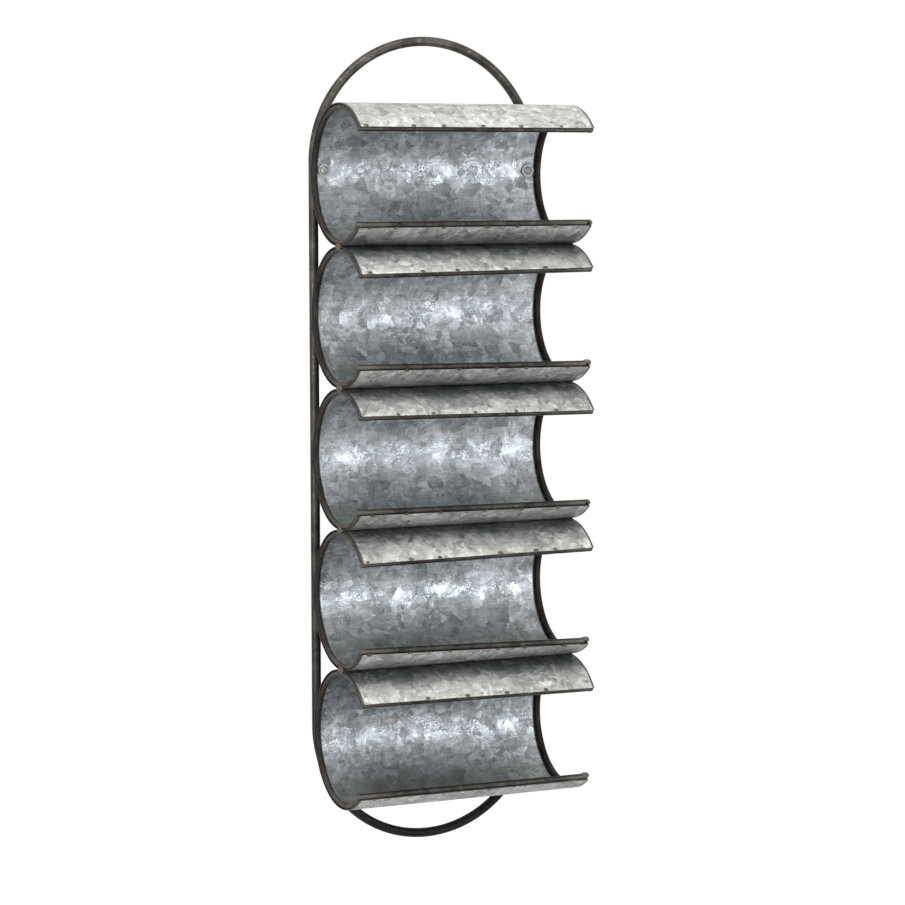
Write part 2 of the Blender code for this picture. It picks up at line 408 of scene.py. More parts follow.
class Graph:
    """Nodes of one material."""

    def __init__(self, name: str) -> None:
        """Start a material whose pattern follows the object's own coordinates."""
        self.material = bpy.data.materials.new(name)
        self.material.use_nodes = True
        self.tree = self.material.node_tree
        self.shader = self.tree.nodes["Principled BSDF"]
        self.place = self.add("ShaderNodeTexCoord").outputs["Object"]

    def add(self, kind: str, **settings: object) -> bpy.types.Node:
        """Add a node.

        Args:
            kind: The node's type.
            settings: Its properties by name.

        Returns:
            The node.
        """
        node = self.tree.nodes.new(kind)
        for name, value in settings.items():
            setattr(node, name, value)
        return node

    def feed(self, target: Socket, value: Socket | float | tuple) -> None:
        """Link a socket to an input, or set the input's own value.

        Args:
            target: The input.
            value: A socket, number, vector or colour.
        """
        if isinstance(value, bpy.types.NodeSocket):
            self.tree.links.new(value, target)
        elif isinstance(value, tuple) and len(value) == 3 and target.type == "RGBA":
            target.default_value = (*value, 1.0)
        else:
            target.default_value = value

    def stretched(self, factors: tuple[float, float, float]) -> Socket:
        """Coordinates scaled along each axis."""
        node = self.add("ShaderNodeMapping")
        self.feed(node.inputs["Vector"], self.place)
        self.feed(node.inputs["Scale"], factors)
        return node.outputs["Vector"]

    def noise(self, pattern: Noise, place: Socket | None = None, output: str = "Fac") -> Socket:
        """Add cloudy noise.

        Args:
            pattern: The noise.
            place: Coordinates, or none for the object's own.
            output: The output that is wanted.

        Returns:
            That output.
        """
        node = self.add("ShaderNodeTexNoise")
        self.feed(node.inputs["Vector"], place or self.place)
        self.feed(node.inputs["Scale"], 1 / pattern.size)
        self.feed(node.inputs["Detail"], pattern.detail)
        self.feed(node.inputs["Roughness"], pattern.roughness)
        return node.outputs[output]

    def cells(self, size: float, place: Socket) -> bpy.types.Node:
        """Add crystal cells of a size in metres."""
        node = self.add("ShaderNodeTexVoronoi")
        self.feed(node.inputs["Vector"], place)
        self.feed(node.inputs["Scale"], 1 / size)
        return node

    def warped(self, size: float, reach: float, place: Socket | None = None) -> Socket:
        """Coordinates pushed about by noise.

        Args:
            size: Size of the noise in metres.
            reach: How far it pushes, in metres.
            place: Coordinates, or none for the object's own.

        Returns:
            The pushed coordinates.
        """
        noise = self.noise(Noise(size), output="Color")
        pushed = self.vector("MULTIPLY_ADD", noise, (reach,) * 3, place or self.place)
        return self.vector("ADD", pushed, (-reach / 2,) * 3)

    def vector(self, operation: str, *values: Socket | tuple) -> Socket:
        """Result of a vector operation on its inputs."""
        node = self.add("ShaderNodeVectorMath", operation=operation)
        for target, value in zip(node.inputs, values):
            self.feed(target, value)
        return node.outputs["Vector"]

    def dot(self, first: Socket, second: Socket) -> Socket:
        """Dot product of two vectors."""
        node = self.add("ShaderNodeVectorMath", operation="DOT_PRODUCT")
        self.feed(node.inputs[0], first)
        self.feed(node.inputs[1], second)
        return node.outputs["Value"]

    def across(self) -> Socket:
        """Distance from the rack's middle plane."""
        return self.sum("ABSOLUTE", self.axis("X"))

    def axis(self, name: str, vector: Socket | None = None) -> Socket:
        """Take one part of a vector, or of the object's own coordinates."""
        node = self.add("ShaderNodeSeparateXYZ")
        self.feed(node.inputs[0], vector or self.place)
        return node.outputs[name]

    def normal(self) -> Socket:
        """Direction that the surface faces."""
        return self.add("ShaderNodeNewGeometry").outputs["Normal"]

    def written(self, name: str) -> Socket:
        """Value that the mesh carries at each point under a name."""
        return self.add("ShaderNodeAttribute", attribute_name=name).outputs["Fac"]

    def centred(self, value: Socket) -> Socket:
        """Shift a pattern of 0 to 1 to lie about zero."""
        return self.sum("SUBTRACT", value, 0.5)

    def ridge(self, centre: Vector, radius: float, width: float, height: float) -> Socket:
        """Raise a round ridge about a point of the object.

        Args:
            centre: The point.
            radius: Radius of the ridge's crest, or zero for a spot.
            width: Width of the ridge from crest to foot.
            height: Value on the crest.

        Returns:
            The ridge's value, zero elsewhere.
        """
        node = self.add("ShaderNodeVectorMath", operation="DISTANCE")
        self.feed(node.inputs[0], self.place)
        self.feed(node.inputs[1], tuple(centre))
        away = self.sum("ABSOLUTE", self.sum("SUBTRACT", node.outputs["Value"], radius))
        return self.spread(away, 0.0, width, height, 0.0)

    def sum(self, operation: str, *values: Socket | float) -> Socket:
        """Result of an operation on numbers."""
        node = self.add("ShaderNodeMath", operation=operation)
        for target, value in zip(node.inputs, values):
            self.feed(target, value)
        return node.outputs[0]

    def spread(self, value: Socket, start: float, end: float, low: float = 0.0, high: float = 1.0) -> Socket:
        """Map a value from one span to another, held at the ends.

        Args:
            value: The number.
            start: Where its span starts.
            end: Where its span ends.
            low: Result at the start.
            high: Result at the end.

        Returns:
            The mapped number.
        """
        node = self.add("ShaderNodeMapRange")
        for target, number in zip(node.inputs, (value, start, end, low, high)):
            self.feed(target, number)
        return node.outputs["Result"]

    def mixed(
        self, factor: Socket | float, first: Socket | Colour, second: Socket | Colour, blend: str = "MIX"
    ) -> Socket:
        """Mix two colours.

        Args:
            factor: Share of the second one.
            first: The first colour.
            second: The second colour.
            blend: How they are mixed.

        Returns:
            The mixed colour.
        """
        node = self.add("ShaderNodeMix", data_type="RGBA", blend_type=blend)
        self.feed(node.inputs[0], factor)
        self.feed(node.inputs[6], first)
        self.feed(node.inputs[7], second)
        return node.outputs[2]

    def bump(self, height: Socket, depth: float, normal: Socket | None = None) -> Socket:
        """Raise the surface by a height pattern.

        Args:
            height: The pattern, from 0 to 1.
            depth: Real depth of the full pattern, in metres.
            normal: A normal to start from, if any.

        Returns:
            The new normal.
        """
        node = self.add("ShaderNodeBump")
        self.feed(node.inputs["Distance"], depth)
        self.feed(node.inputs["Height"], height)
        if normal:
            self.feed(node.inputs["Normal"], normal)
        return node.outputs["Normal"]

    def dress(self, **inputs: Socket | float | tuple) -> bpy.types.Material:
        """Feed the shader and hand over the material.

        Args:
            inputs: Shader inputs by name, with _ for a space.

        Returns:
            The material.
        """
        for name, value in inputs.items():
            self.feed(self.shader.inputs[name.replace("_", " ")], value)
        return self.material


@dataclass(frozen=True)
class Ring:
    """A faint round mark that a weld or screw behind the sheet leaves in the zinc."""

    centre: Vector
    radius: float
    strength: float
    width: float


@dataclass(frozen=True)
class ZincFinish:
    """Hot-dipped zinc: feathery flakes, pale clouds, rolling streaks, dark flecks and heat stains, under
    painted shade, a darker lower tint and a dark end band.
    """

    name: str
    dark: Colour
    middle: Colour
    light: Colour
    stain: Colour = (0.13, 0.11, 0.09)
    # Colour of the painted shade beside the seams, on the lower lips and under the roof
    soot: Colour = (0.041, 0.052, 0.060)
    shade: Colour = (0.15, 0.15, 0.155)
    # Dark band at the sheet's ends: a dark edge on the outer wall, painted contact shadow beside the hoops on
    # the inner wall
    rim: Colour = (0.016, 0.014, 0.012)
    # Darker, warmer grey low in the cradle and towards its mouth
    film: Colour = (0.150, 0.155, 0.132)
    metallic: float = 0.7
    glossy: float = 0.32
    matte: float = 0.50
    rings: tuple[Ring, ...] = ()
    # Flakes of two sizes, their edges feathered by a broad and a fine warp of a size and a reach
    large_flake: float = 0.015
    small_flake: float = 0.0065
    broad_warp: tuple[float, float] = (0.02, 0.016)
    fine_warp: tuple[float, float] = (0.004, 0.0028)
    mix_noise: Noise = Noise(0.035, 3.0, 0.55)
    mix_span: Span = (0.40, 0.60, 0.15, 0.85)
    lean: float = 0.10
    fade_share: float = 1.1
    cell_share: float = 0.5
    cell_floor: float = 0.25
    # Tone of the zinc, and how much each pattern adds to it
    plume_noise: Noise = Noise(0.007, 6.0, 0.68)
    cloud_noise: Noise = Noise(0.055)
    streak_noise: Noise = Noise(0.0016, 4.0, 0.6)
    grain_noise: Noise = Noise(0.0011, 3.0, 0.8)
    streak_stretch: Place = (0.07, 1.0, 1.0)
    grain_stretch: Place = (0.6, 1.0, 1.0)
    flake_share: float = 0.5
    plume_share: float = 0.55
    cloud_share: float = 0.45
    streak_share: float = 0.35
    grain_share: float = 0.30
    tone_span: Span = (0.52, 0.99)
    # Dark flecks in patches, heat stains with ragged edges, painted shade by the seams and under the roof, a
    # darker, warmer lower tint, and the dark band at the ends (a dark edge outside, painted contact shadow
    # inside)
    fleck_noise: Noise = Noise(0.0013, 3.0, 0.75)
    patch_noise: Noise = Noise(0.016)
    ragged_noise: Noise = Noise(0.002)
    fleck_span: Span = (0.50, 0.62)
    patch_span: Span = (0.38, 0.60)
    ragged_span: Span = (0.3, 0.6, 0.4, 1.0)
    soot_span: Span = (0.0, 1.0, 0.96, 0.70)
    rim_span: Span = (0.1241, 0.1249)
    fleck_share: float = 0.65
    film_share: float = 0.5
    rim_share: float = 0.92
    # Relief and gloss
    relief: float = 0.00022
    fleck_height: float = -0.6
    grain_height: float = 0.5
    plume_gloss: float = 0.8
    gloss_span: Span = (0.2, 0.8)
    dulling: float = 0.2

    def flakes(self, graph: Graph, size: float, place: Socket) -> tuple[Socket, Socket, Socket]:
        """Lay one size of flake, each with its own tone, lean and fade from one side to the other.

        Args:
            graph: The material's nodes.
            size: Size of a flake in metres.
            place: Coordinates.

        Returns:
            The flakes' tone, lean and gloss.
        """
        scaled = graph.vector("MULTIPLY", place, (1 / size,) * 3)
        cells = graph.cells(1.0, scaled)
        lean = graph.vector("SUBTRACT", cells.outputs["Color"], (0.5, 0.5, 0.5))
        fade = graph.dot(graph.vector("SUBTRACT", scaled, cells.outputs["Position"]), lean)
        parts = graph.add("ShaderNodeSeparateColor")
        graph.feed(parts.inputs[0], cells.outputs["Color"])
        tone = graph.sum("MULTIPLY_ADD", parts.outputs[0], self.cell_share, self.cell_floor)
        return graph.sum("MULTIPLY_ADD", fade, self.fade_share, tone), lean, parts.outputs[1]

    def make(self) -> bpy.types.Material:
        """Lay the nodes and hand over the material."""
        graph = Graph(self.name)
        feathered = graph.warped(*self.fine_warp, graph.warped(*self.broad_warp))
        large_tone, large_lean, large_gloss = self.flakes(graph, self.large_flake, feathered)
        small_tone, small_lean, small_gloss = self.flakes(graph, self.small_flake, feathered)
        share = graph.spread(graph.noise(self.mix_noise), *self.mix_span)
        plumes = graph.noise(self.plume_noise, feathered)
        clouds = graph.noise(self.cloud_noise)
        streaks = graph.noise(self.streak_noise, graph.stretched(self.streak_stretch))
        streaks = graph.sum("MULTIPLY", graph.centred(streaks), self.streak_share)
        grain = graph.noise(self.grain_noise, graph.stretched(self.grain_stretch))
        step = graph.sum("MULTIPLY", share, graph.sum("SUBTRACT", small_tone, large_tone))
        tone = graph.sum("MULTIPLY", graph.sum("ADD", large_tone, step), self.flake_share)
        tone = graph.sum("MULTIPLY_ADD", plumes, self.plume_share, tone)
        tone = graph.sum("MULTIPLY_ADD", clouds, self.cloud_share, tone)
        tone = graph.sum("MULTIPLY_ADD", graph.centred(grain), self.grain_share, tone)
        tone = graph.spread(graph.sum("ADD", tone, streaks), *self.tone_span)
        base = graph.mixed(graph.spread(tone, 0.0, 0.5), self.dark, self.middle)
        base = graph.mixed(graph.spread(tone, 0.5, 1.0), base, self.light)
        patch = graph.spread(graph.noise(self.patch_noise), *self.patch_span)
        fleck = graph.sum("MULTIPLY", graph.spread(graph.noise(self.fleck_noise), *self.fleck_span), patch)
        base = graph.mixed(graph.sum("MULTIPLY", fleck, self.fleck_share), base, self.dark)
        ragged = graph.spread(graph.noise(self.ragged_noise), *self.ragged_span)
        ragged = graph.sum("MULTIPLY", graph.written("heat"), ragged)
        base = graph.mixed(ragged, base, self.stain)
        # Painted shade beside the seams with the neighbouring cradles, on the lower lips and under the roof,
        # weaker on light flakes
        soot = graph.sum("MULTIPLY", graph.written("soot"), graph.spread(tone, *self.soot_span))
        base = graph.mixed(soot, base, self.soot)
        height = graph.sum("MULTIPLY_ADD", fleck, self.fleck_height, graph.sum("ADD", plumes, streaks))
        height = graph.sum("MULTIPLY_ADD", grain, self.grain_height, height)
        for ring in self.rings:
            ridge = graph.ridge(ring.centre, ring.radius, ring.width, ring.strength)
            base = graph.mixed(ridge, base, self.shade)
            height = graph.sum("SUBTRACT", height, ridge)
        # Darker, warmer grey low in the cradle and towards its mouth
        base = graph.mixed(graph.sum("MULTIPLY", graph.written("film"), self.film_share), base, self.film)
        # Dark band at the ends: a dark edge outside, painted contact shadow along the hoop inside
        base = graph.mixed(graph.spread(graph.across(), *self.rim_span, 0.0, self.rim_share), base, self.rim)
        lean = graph.add("ShaderNodeMix", data_type="VECTOR")
        for target, value in ((0, share), (4, large_lean), (5, small_lean)):
            graph.feed(lean.inputs[target], value)
        leaned = graph.vector("MULTIPLY_ADD", lean.outputs[1], (self.lean,) * 3, graph.normal())
        leaned = graph.vector("NORMALIZE", leaned)
        gloss = graph.sum("MULTIPLY_ADD", large_gloss, 0.5, graph.sum("MULTIPLY", small_gloss, 0.5))
        gloss = graph.sum("MULTIPLY_ADD", graph.centred(plumes), self.plume_gloss, gloss)
        roughness = graph.spread(gloss, *self.gloss_span, self.glossy, self.matte)
        worst = graph.sum("MAXIMUM", ragged, fleck)
        return graph.dress(
            Base_Color=base,
            Metallic=self.metallic,
            Roughness=graph.sum("MULTIPLY_ADD", worst, self.dulling, roughness),
            Normal=graph.bump(height, self.relief, leaned),
        )


@dataclass(frozen=True)
class IronFinish:
    """Dark waxed iron, browner where it is rubbed, with a fine scaly skin, and painted shade in the crevices,
    low down, towards the wall and on faces turned up or down.
    """

    name: str
    dark: Colour = (0.024, 0.022, 0.0195)
    light: Colour = (0.080, 0.074, 0.066)
    worn: Colour = (0.20, 0.183, 0.163)
    # Colour of the painted shade
    grime: Colour = (0.010, 0.009, 0.008)
    edge_tint: Colour = (0.10, 0.10, 0.10)
    metallic: float = 0.35
    specular: float = 0.25
    roughness_span: Span = (0.3, 0.7, 0.30, 0.46)
    cloud_noise: Noise = Noise(0.018, 4.0, 0.6)
    skin_noise: Noise = Noise(0.0022, 4.0, 0.65)
    rubbed_noise: Noise = Noise(0.006, 5.0, 0.7)
    cloud_span: Span = (0.35, 0.68)
    skin_span: Span = (0.55, 0.75, 0.0, 0.5)
    rubbed_span: Span = (0.56, 0.74)
    rubbed_share: float = 0.7
    skin_depth: float = 0.00012
    # Where the lighter ends and the painted shade lie: distances across, depths and heights in the rack, and
    # tilts of the face
    end_span: Span = (0.085, 0.122)
    crevice_span: Span = (0.1228, 0.1205)
    crevice_heights: Span = (-0.085, -0.13)
    foot_heights: Span = (-0.15, -0.75)
    wall_depths: Span = (-0.062, -0.026)
    upward_tilts: Span = (0.35, 0.8)
    downward_tilts: Span = (-0.35, -0.8)
    # How much of each one piece has
    worn_ends_share: float = 0.0
    crevice_share: float = 0.0
    foot_share: float = 0.0
    wall_share: float = 0.0
    upward_share: float = 0.0
    downward_share: float = 0.0

    def make(self) -> bpy.types.Material:
        """Lay the nodes and hand over the material."""
        graph = Graph(self.name)
        clouds = graph.noise(self.cloud_noise)
        skin = graph.noise(self.skin_noise)
        base = graph.mixed(graph.spread(clouds, *self.cloud_span), self.dark, self.light)
        rubbed = graph.spread(graph.noise(self.rubbed_noise), *self.rubbed_span)
        base = graph.mixed(graph.sum("MULTIPLY", rubbed, self.rubbed_share), base, self.worn)
        base = graph.mixed(graph.spread(skin, *self.skin_span), base, self.dark)
        # Lighter brown towards the ends
        ends = graph.spread(graph.across(), *self.end_span, 0.0, self.worn_ends_share)
        base = graph.mixed(ends, base, self.worn)
        height = graph.axis("Z")
        # Painted shade: on the stiles beside the cradles, low on the tube, towards the wall and on faces
        # turned up or down
        crevice = graph.spread(graph.across(), *self.crevice_span, 0.0, self.crevice_share)
        crevice = graph.sum("MULTIPLY", crevice, graph.spread(height, *self.crevice_heights))
        foot = graph.spread(height, *self.foot_heights, 0.0, self.foot_share)
        wall = graph.spread(graph.axis("Y"), *self.wall_depths, 0.0, self.wall_share)
        tilt = graph.axis("Z", graph.normal())
        above = graph.spread(tilt, *self.upward_tilts, 0.0, self.upward_share)
        below = graph.spread(tilt, *self.downward_tilts, 0.0, self.downward_share)
        for share in (graph.sum("MAXIMUM", crevice, foot), wall, graph.sum("MAXIMUM", above, below)):
            base = graph.mixed(share, base, self.grime)
        return graph.dress(
            Base_Color=base,
            Metallic=self.metallic,
            Roughness=graph.spread(clouds, *self.roughness_span),
            Specular_IOR_Level=self.specular,
            Specular_Tint=self.edge_tint,
            Normal=graph.bump(skin, self.skin_depth),
        )


@dataclass(frozen=True)
class WeldFinish:
    """Weld metal left as it cooled: brown-grey, rippled and a little sooty."""

    name: str
    dark: Colour = (0.052, 0.045, 0.038)
    light: Colour = (0.165, 0.143, 0.121)
    metallic: float = 0.6
    roughness_span: Span = (0.3, 0.7, 0.42, 0.62)
    cloud_noise: Noise = Noise(0.004, 4.0, 0.65)
    ripple_noise: Noise = Noise(0.0012, 3.0, 0.6)
    cloud_span: Span = (0.36, 0.66)
    ripple_span: Span = (0.55, 0.7, 0.0, 0.45)
    ripple_depth: float = 0.00015

    def make(self) -> bpy.types.Material:
        """Lay the nodes and hand over the material."""
        graph = Graph(self.name)
        clouds = graph.noise(self.cloud_noise)
        ripples = graph.noise(self.ripple_noise)
        base = graph.mixed(graph.spread(clouds, *self.cloud_span), self.dark, self.light)
        return graph.dress(
            Base_Color=graph.mixed(graph.spread(ripples, *self.ripple_span), base, self.dark),
            Metallic=self.metallic,
            Roughness=graph.spread(clouds, *self.roughness_span),
            Normal=graph.bump(ripples, self.ripple_depth),
        )


@dataclass(frozen=True)
class SteelFinish:
    """Zinc-plated steel of the screws and washers, turned and a little dulled."""

    name: str
    dark: Colour = (0.27, 0.27, 0.28)
    light: Colour = (0.46, 0.465, 0.48)
    metallic: float = 0.5
    roughness_span: Span = (0.3, 0.7, 0.42, 0.60)
    tarnish_noise: Noise = Noise(0.003, 4.0, 0.65)
    tarnish_span: Span = (0.35, 0.62)
    scratch_noise: Noise = Noise(0.0008, 2.0)
    scratch_stretch: Place = (0.3, 1.0, 1.0)
    scratch_depth: float = 0.00004

    def make(self) -> bpy.types.Material:
        """Lay the nodes and hand over the material."""
        graph = Graph(self.name)
        tarnish = graph.noise(self.tarnish_noise)
        scratches = graph.noise(self.scratch_noise, graph.stretched(self.scratch_stretch))
        return graph.dress(
            Base_Color=graph.mixed(graph.spread(tarnish, *self.tarnish_span), self.dark, self.light),
            Metallic=self.metallic,
            Roughness=graph.spread(tarnish, *self.roughness_span),
            Normal=graph.bump(scratches, self.scratch_depth),
        )


@dataclass(frozen=True)
class CradleFacts:
    """Where one cradle is and how far its sheet and hoops go round, read from the frame."""

    index: int
    axis: Vector
    radius: float
    length: float

    @classmethod
    def read(cls, index: int) -> "CradleFacts":
        """Read a cradle's axis and size from its sheet's box.

        Args:
            index: The cradle's place from the top, from 0.

        Returns:
            The cradle's facts.
        """
        low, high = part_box(f"cradle_sheet_{index + 1}")
        radius = (high.z - low.z) / 2
        axis = Vector(((low.x + high.x) / 2, high.y - radius, (low.z + high.z) / 2))
        return cls(index, axis, radius, high.x - low.x)

    def direction(self, angle: float) -> Vector:
        """Unit direction from the axis at an angle."""
        return Vector((0.0, -math.cos(angle), math.sin(angle)))

    def angle(self, point: Vector) -> float:
        """Angle of a point around the axis, from 0 to a full turn."""
        return math.atan2(point.z - self.axis.z, self.axis.y - point.y) % math.tau

    def reach(self, point: Vector) -> float:
        """Distance of a point from the axis."""
        return math.hypot(point.y - self.axis.y, point.z - self.axis.z)

    def end(self, side: Side) -> float:
        """Place of the cradle's left or right end across the rack."""
        return self.axis.x + side.value * self.length / 2

    def span(self, node: str, side: Side) -> tuple[float, float]:
        """First and last angle that a node reaches on one side of the rack.

        Args:
            node: The node's name.
            side: The side whose points count.

        Returns:
            The two angles.
        """
        angles = [self.angle(point) for point in self.side_points(node, side)]
        return min(angles), max(angles)

    def side_points(self, node: str, side: Side) -> list[Vector]:
        """Points of a node on one side of the rack's middle."""
        return [point for point in node_points(node) if (point.x - self.axis.x) * side.value > 0]

    def lip_edge(self, edge: Edge, side: Side) -> float:
        """Angle at which the sheet ends at a lip's left or right end."""
        return self.span(f"cradle_sheet_{self.index + 1}", side)[0 if edge is Edge.UPPER else 1]

    def rod_end(self, edge: Edge, side: Side) -> Vector:
        """Middle of a lip rod's end face.

        Args:
            edge: The upper or lower lip.
            side: The left or right end.

        Returns:
            The point.
        """
        points = self.side_points(f"lip_rod_{edge.value}_{self.index + 1}", side)
        depths = [point.y for point in points]
        heights = [point.z for point in points]
        return Vector((self.end(side), (min(depths) + max(depths)) / 2, (min(heights) + max(heights)) / 2))


@dataclass
class Bead:
    """A small mound of weld metal, modelled once about the origin and copied where it is needed."""

    name: str
    seed: int
    roundness: int = 3
    unevenness: float = 0.12
    uniform_share: float = 0.4
    normal_share: float = 0.6
    smoothing: float = 0.5
    smoothing_rounds: int = 2
    crease: float = 70.0

    def model(self) -> Piece:
        """Squash and roughen a ball of one metre's radius into a mound, for copies to scale.

        Returns:
            The master piece.
        """
        bpy.ops.mesh.primitive_ico_sphere_add(subdivisions=self.roundness, radius=1.0)
        master = start_piece(self.name)
        with editing(master):
            bpy.ops.mesh.select_all(action="SELECT")
            bpy.ops.transform.vertex_random(
                offset=self.unevenness, uniform=self.uniform_share, normal=self.normal_share, seed=self.seed
            )
            bpy.ops.mesh.vertices_smooth(factor=self.smoothing, repeat=self.smoothing_rounds)
        smooth(master, self.crease)
        return master


@dataclass
class Cradle:
    """One cradle: rolled sheet, two end hoops, two lip rods and the welds that tack them."""

    facts: CradleFacts
    zinc_outside: bpy.types.Material
    zinc_inside: bpy.types.Material
    cut_edge: bpy.types.Material
    hoop_iron_lit: bpy.types.Material
    rod_iron: dict[Edge, bpy.types.Material]
    weld: bpy.types.Material
    beads: list[Piece]
    # Sheet
    arc_sides: int = 184
    length_cuts: int = 99
    swelling: float = 0.00024
    edge_trim: float = math.radians(0.3)
    corner_round: float = 0.0016
    corner_cuts: int = 3
    corner_catch: float = 0.0001
    edge_round: float = 0.0002
    edge_cuts: int = 2
    edge_angle: float = math.radians(60.0)
    waviness: float = 0.0003
    wave_length: float = 0.045
    crease: float = 35.0
    # Hoops and lip rods
    wire_sides: int = 20
    hoop_steps: int = 110
    rod_cuts: int = 23
    rod_round_share: float = 0.3
    rod_round_cuts: int = 3
    unevenness: float = 0.00022
    dent_length: float = 0.02
    # Tack welds and corner welds
    tack_size: Place = (0.0029, 0.0021, 0.0006)
    tack_size_shares: Span = (0.8, 1.15)
    tack_spin: float = 0.3
    upper_tack_inset: float = 0.0019
    lower_tack_inset: float = 0.0009
    corner_width: float = 0.0031
    corner_width_shares: Span = (0.9, 1.15)
    corner_shape_shares: Place = (1.0, 1.05, 0.95)
    corner_inset_share: float = 0.85
    corner_shift: float = 0.0004
    # Knob and pit at the right end of the lower lip
    knob_half: Place = (0.0052, 0.0033, 0.0031)
    knob_inset: float = 0.0029
    knob_lift: float = 0.0012
    pit_radius: float = 0.0014
    pit_depth: float = 0.006
    pit_sides: int = 20
    pit_inset: float = 0.0036
    pit_front: float = 0.0031
    pit_drop: float = 0.0004
    # Heat stains round the welds
    heat_reach: float = 0.0032
    heat_strength: float = 0.75
    # Painted shade beside the seams, on the lower lips and under the roof, and a darker, warmer tint low in
    # the mouth:
    # shares by cradle from the top, spans as distances from a seam, or as shares of the radius below, ahead
    # of or above the axis
    soot_reach: float = 0.016
    soot_share: float = 0.45
    upper_haze: Span = (0.026, 0.066)
    upper_haze_share: float = 0.96
    lower_haze: Span = (0.010, 0.075)
    lower_haze_shares: Span = (0.78, 0.62, 0.50, 0.48, 0.42)
    roof_span_shares: Span = (-0.35, 0.45)
    roof_shares: Span = (0.18, 0.0, 0.12, 0.12, 0.52)
    low_span_shares: Span = (0.5, 0.9)
    mouth_span_shares: Span = (-0.25, 0.2)

    def __post_init__(self) -> None:
        """Name the cradle by its number from the top, and seed its hand-made variation."""
        self.number = self.facts.index + 1
        self.chance = random.Random(self.number)
        reaches = [self.facts.reach(point) for point in node_points(f"cradle_sheet_{self.number}")]
        self.wall_thickness = self.facts.radius - min(reaches)

    def build(self) -> None:
        """Build and dress every piece of the cradle."""
        tacks = {edge: self.tack_points(edge) for edge in Edge}
        self.build_sheet([point for points in tacks.values() for point in points])
        for side in Side:
            self.build_hoop(side)
            self.build_corner_welds(side)
        for edge in Edge:
            self.build_rod(edge)
            self.build_tacks(edge, tacks[edge])

    def open_lip(self, sheet: Piece, edge: Edge) -> None:
        """Cut the sheet off along one lip.

        Args:
            sheet: The rolled tube.
            edge: The lip to cut.
        """
        facts = self.facts
        start, end = (self.lip_corner(edge, side) for side in Side)
        middle = facts.direction(facts.angle((start + end) / 2))
        away = (end - start).cross(middle).normalized()
        rising = 1 if edge is Edge.UPPER else -1
        if away.z * rising > 0:
            away.negate()
        with editing(sheet, "FACE"):
            pick_faces(
                sheet,
                lambda centre, normal: centre.y < facts.axis.y and (centre.z - facts.axis.z) * rising > 0,
            )
            bpy.ops.mesh.bisect(plane_co=start, plane_no=away, clear_outer=True)

    def lip_corner(self, edge: Edge, side: Side) -> Vector:
        """Corner of the sheet at one end of a lip, on its outer face.

        Args:
            edge: The lip.
            side: Its left or right end.

        Returns:
            The corner.
        """
        facts = self.facts
        trim = self.edge_trim if edge is Edge.UPPER else -self.edge_trim
        outward = facts.direction(facts.lip_edge(edge, side) + trim)
        return facts.axis + (facts.radius + self.swelling) * outward + ALONG * side.value * facts.length / 2

    def round_corners(self, sheet: Piece) -> None:
        """Round the four corners of the lips.

        Args:
            sheet: The sheet, still without thickness.
        """
        corners = [self.lip_corner(edge, side) for edge in Edge for side in Side]
        with editing(sheet):
            pick_vertices(sheet, lambda place: self.is_corner(place, corners))
            bpy.ops.mesh.bevel(
                offset=self.corner_round, segments=self.corner_cuts, affect="VERTICES", clamp_overlap=True
            )

    def is_corner(self, place: Vector, corners: list[Vector]) -> bool:
        """Say whether a point of the sheet is one of the corners."""
        return min((place - corner).length for corner in corners) < self.corner_catch

    def build_sheet(self, tacks: list[Vector]) -> None:
        """Roll the sheet, open its mouth and give it its wall.

        Args:
            tacks: Places of the tack welds, which stain the zinc.
        """
        facts = self.facts
        bpy.ops.mesh.primitive_cylinder_add(
            vertices=self.arc_sides,
            radius=facts.radius + self.swelling,
            depth=facts.length,
            end_fill_type="NOTHING",
            location=facts.axis,
            rotation=(0.0, QUARTER, 0.0),
        )
        sheet = start_piece(f"rolled_sheet_{self.number}")
        with editing(sheet, "EDGE"):
            pick_edges(sheet, lambda middle, run: abs(run.x) > PARALLEL_SHARE)
            bpy.ops.mesh.subdivide(number_cuts=self.length_cuts)
        for edge in Edge:
            self.open_lip(sheet, edge)
        self.round_corners(sheet)
        self.beat(sheet, self.waviness, self.wave_length)
        for material in (self.zinc_outside, self.zinc_inside, self.cut_edge):
            sheet.data.materials.append(material)
        apply_modifier(
            sheet,
            "SOLIDIFY",
            thickness=self.wall_thickness,
            offset=-1.0,
            material_offset=1,
            material_offset_rim=2,
        )
        if facts.index == 0:
            for side in Side:
                FixingLine(side, facts).drill(sheet)
        apply_modifier(
            sheet,
            "BEVEL",
            width=self.edge_round,
            segments=self.edge_cuts,
            limit_method="ANGLE",
            angle_limit=self.edge_angle,
        )
        smooth(sheet, self.crease)
        self.stain(sheet, tacks)
        finish_piece(sheet, [], (f"cradle_sheet_{self.number}",))

    def beat(self, piece: Piece, depth: float, size: float) -> None:
        """Make a piece slightly uneven, as hand work leaves it.

        Args:
            piece: The piece.
            depth: Full depth of the unevenness.
            size: Size of one swell.
        """
        swell = bpy.data.textures.new(f"swell_{piece.name}", "CLOUDS")
        swell.noise_scale = size
        apply_modifier(
            piece, "DISPLACE", texture=swell, strength=depth, mid_level=0.5, texture_coords="LOCAL"
        )

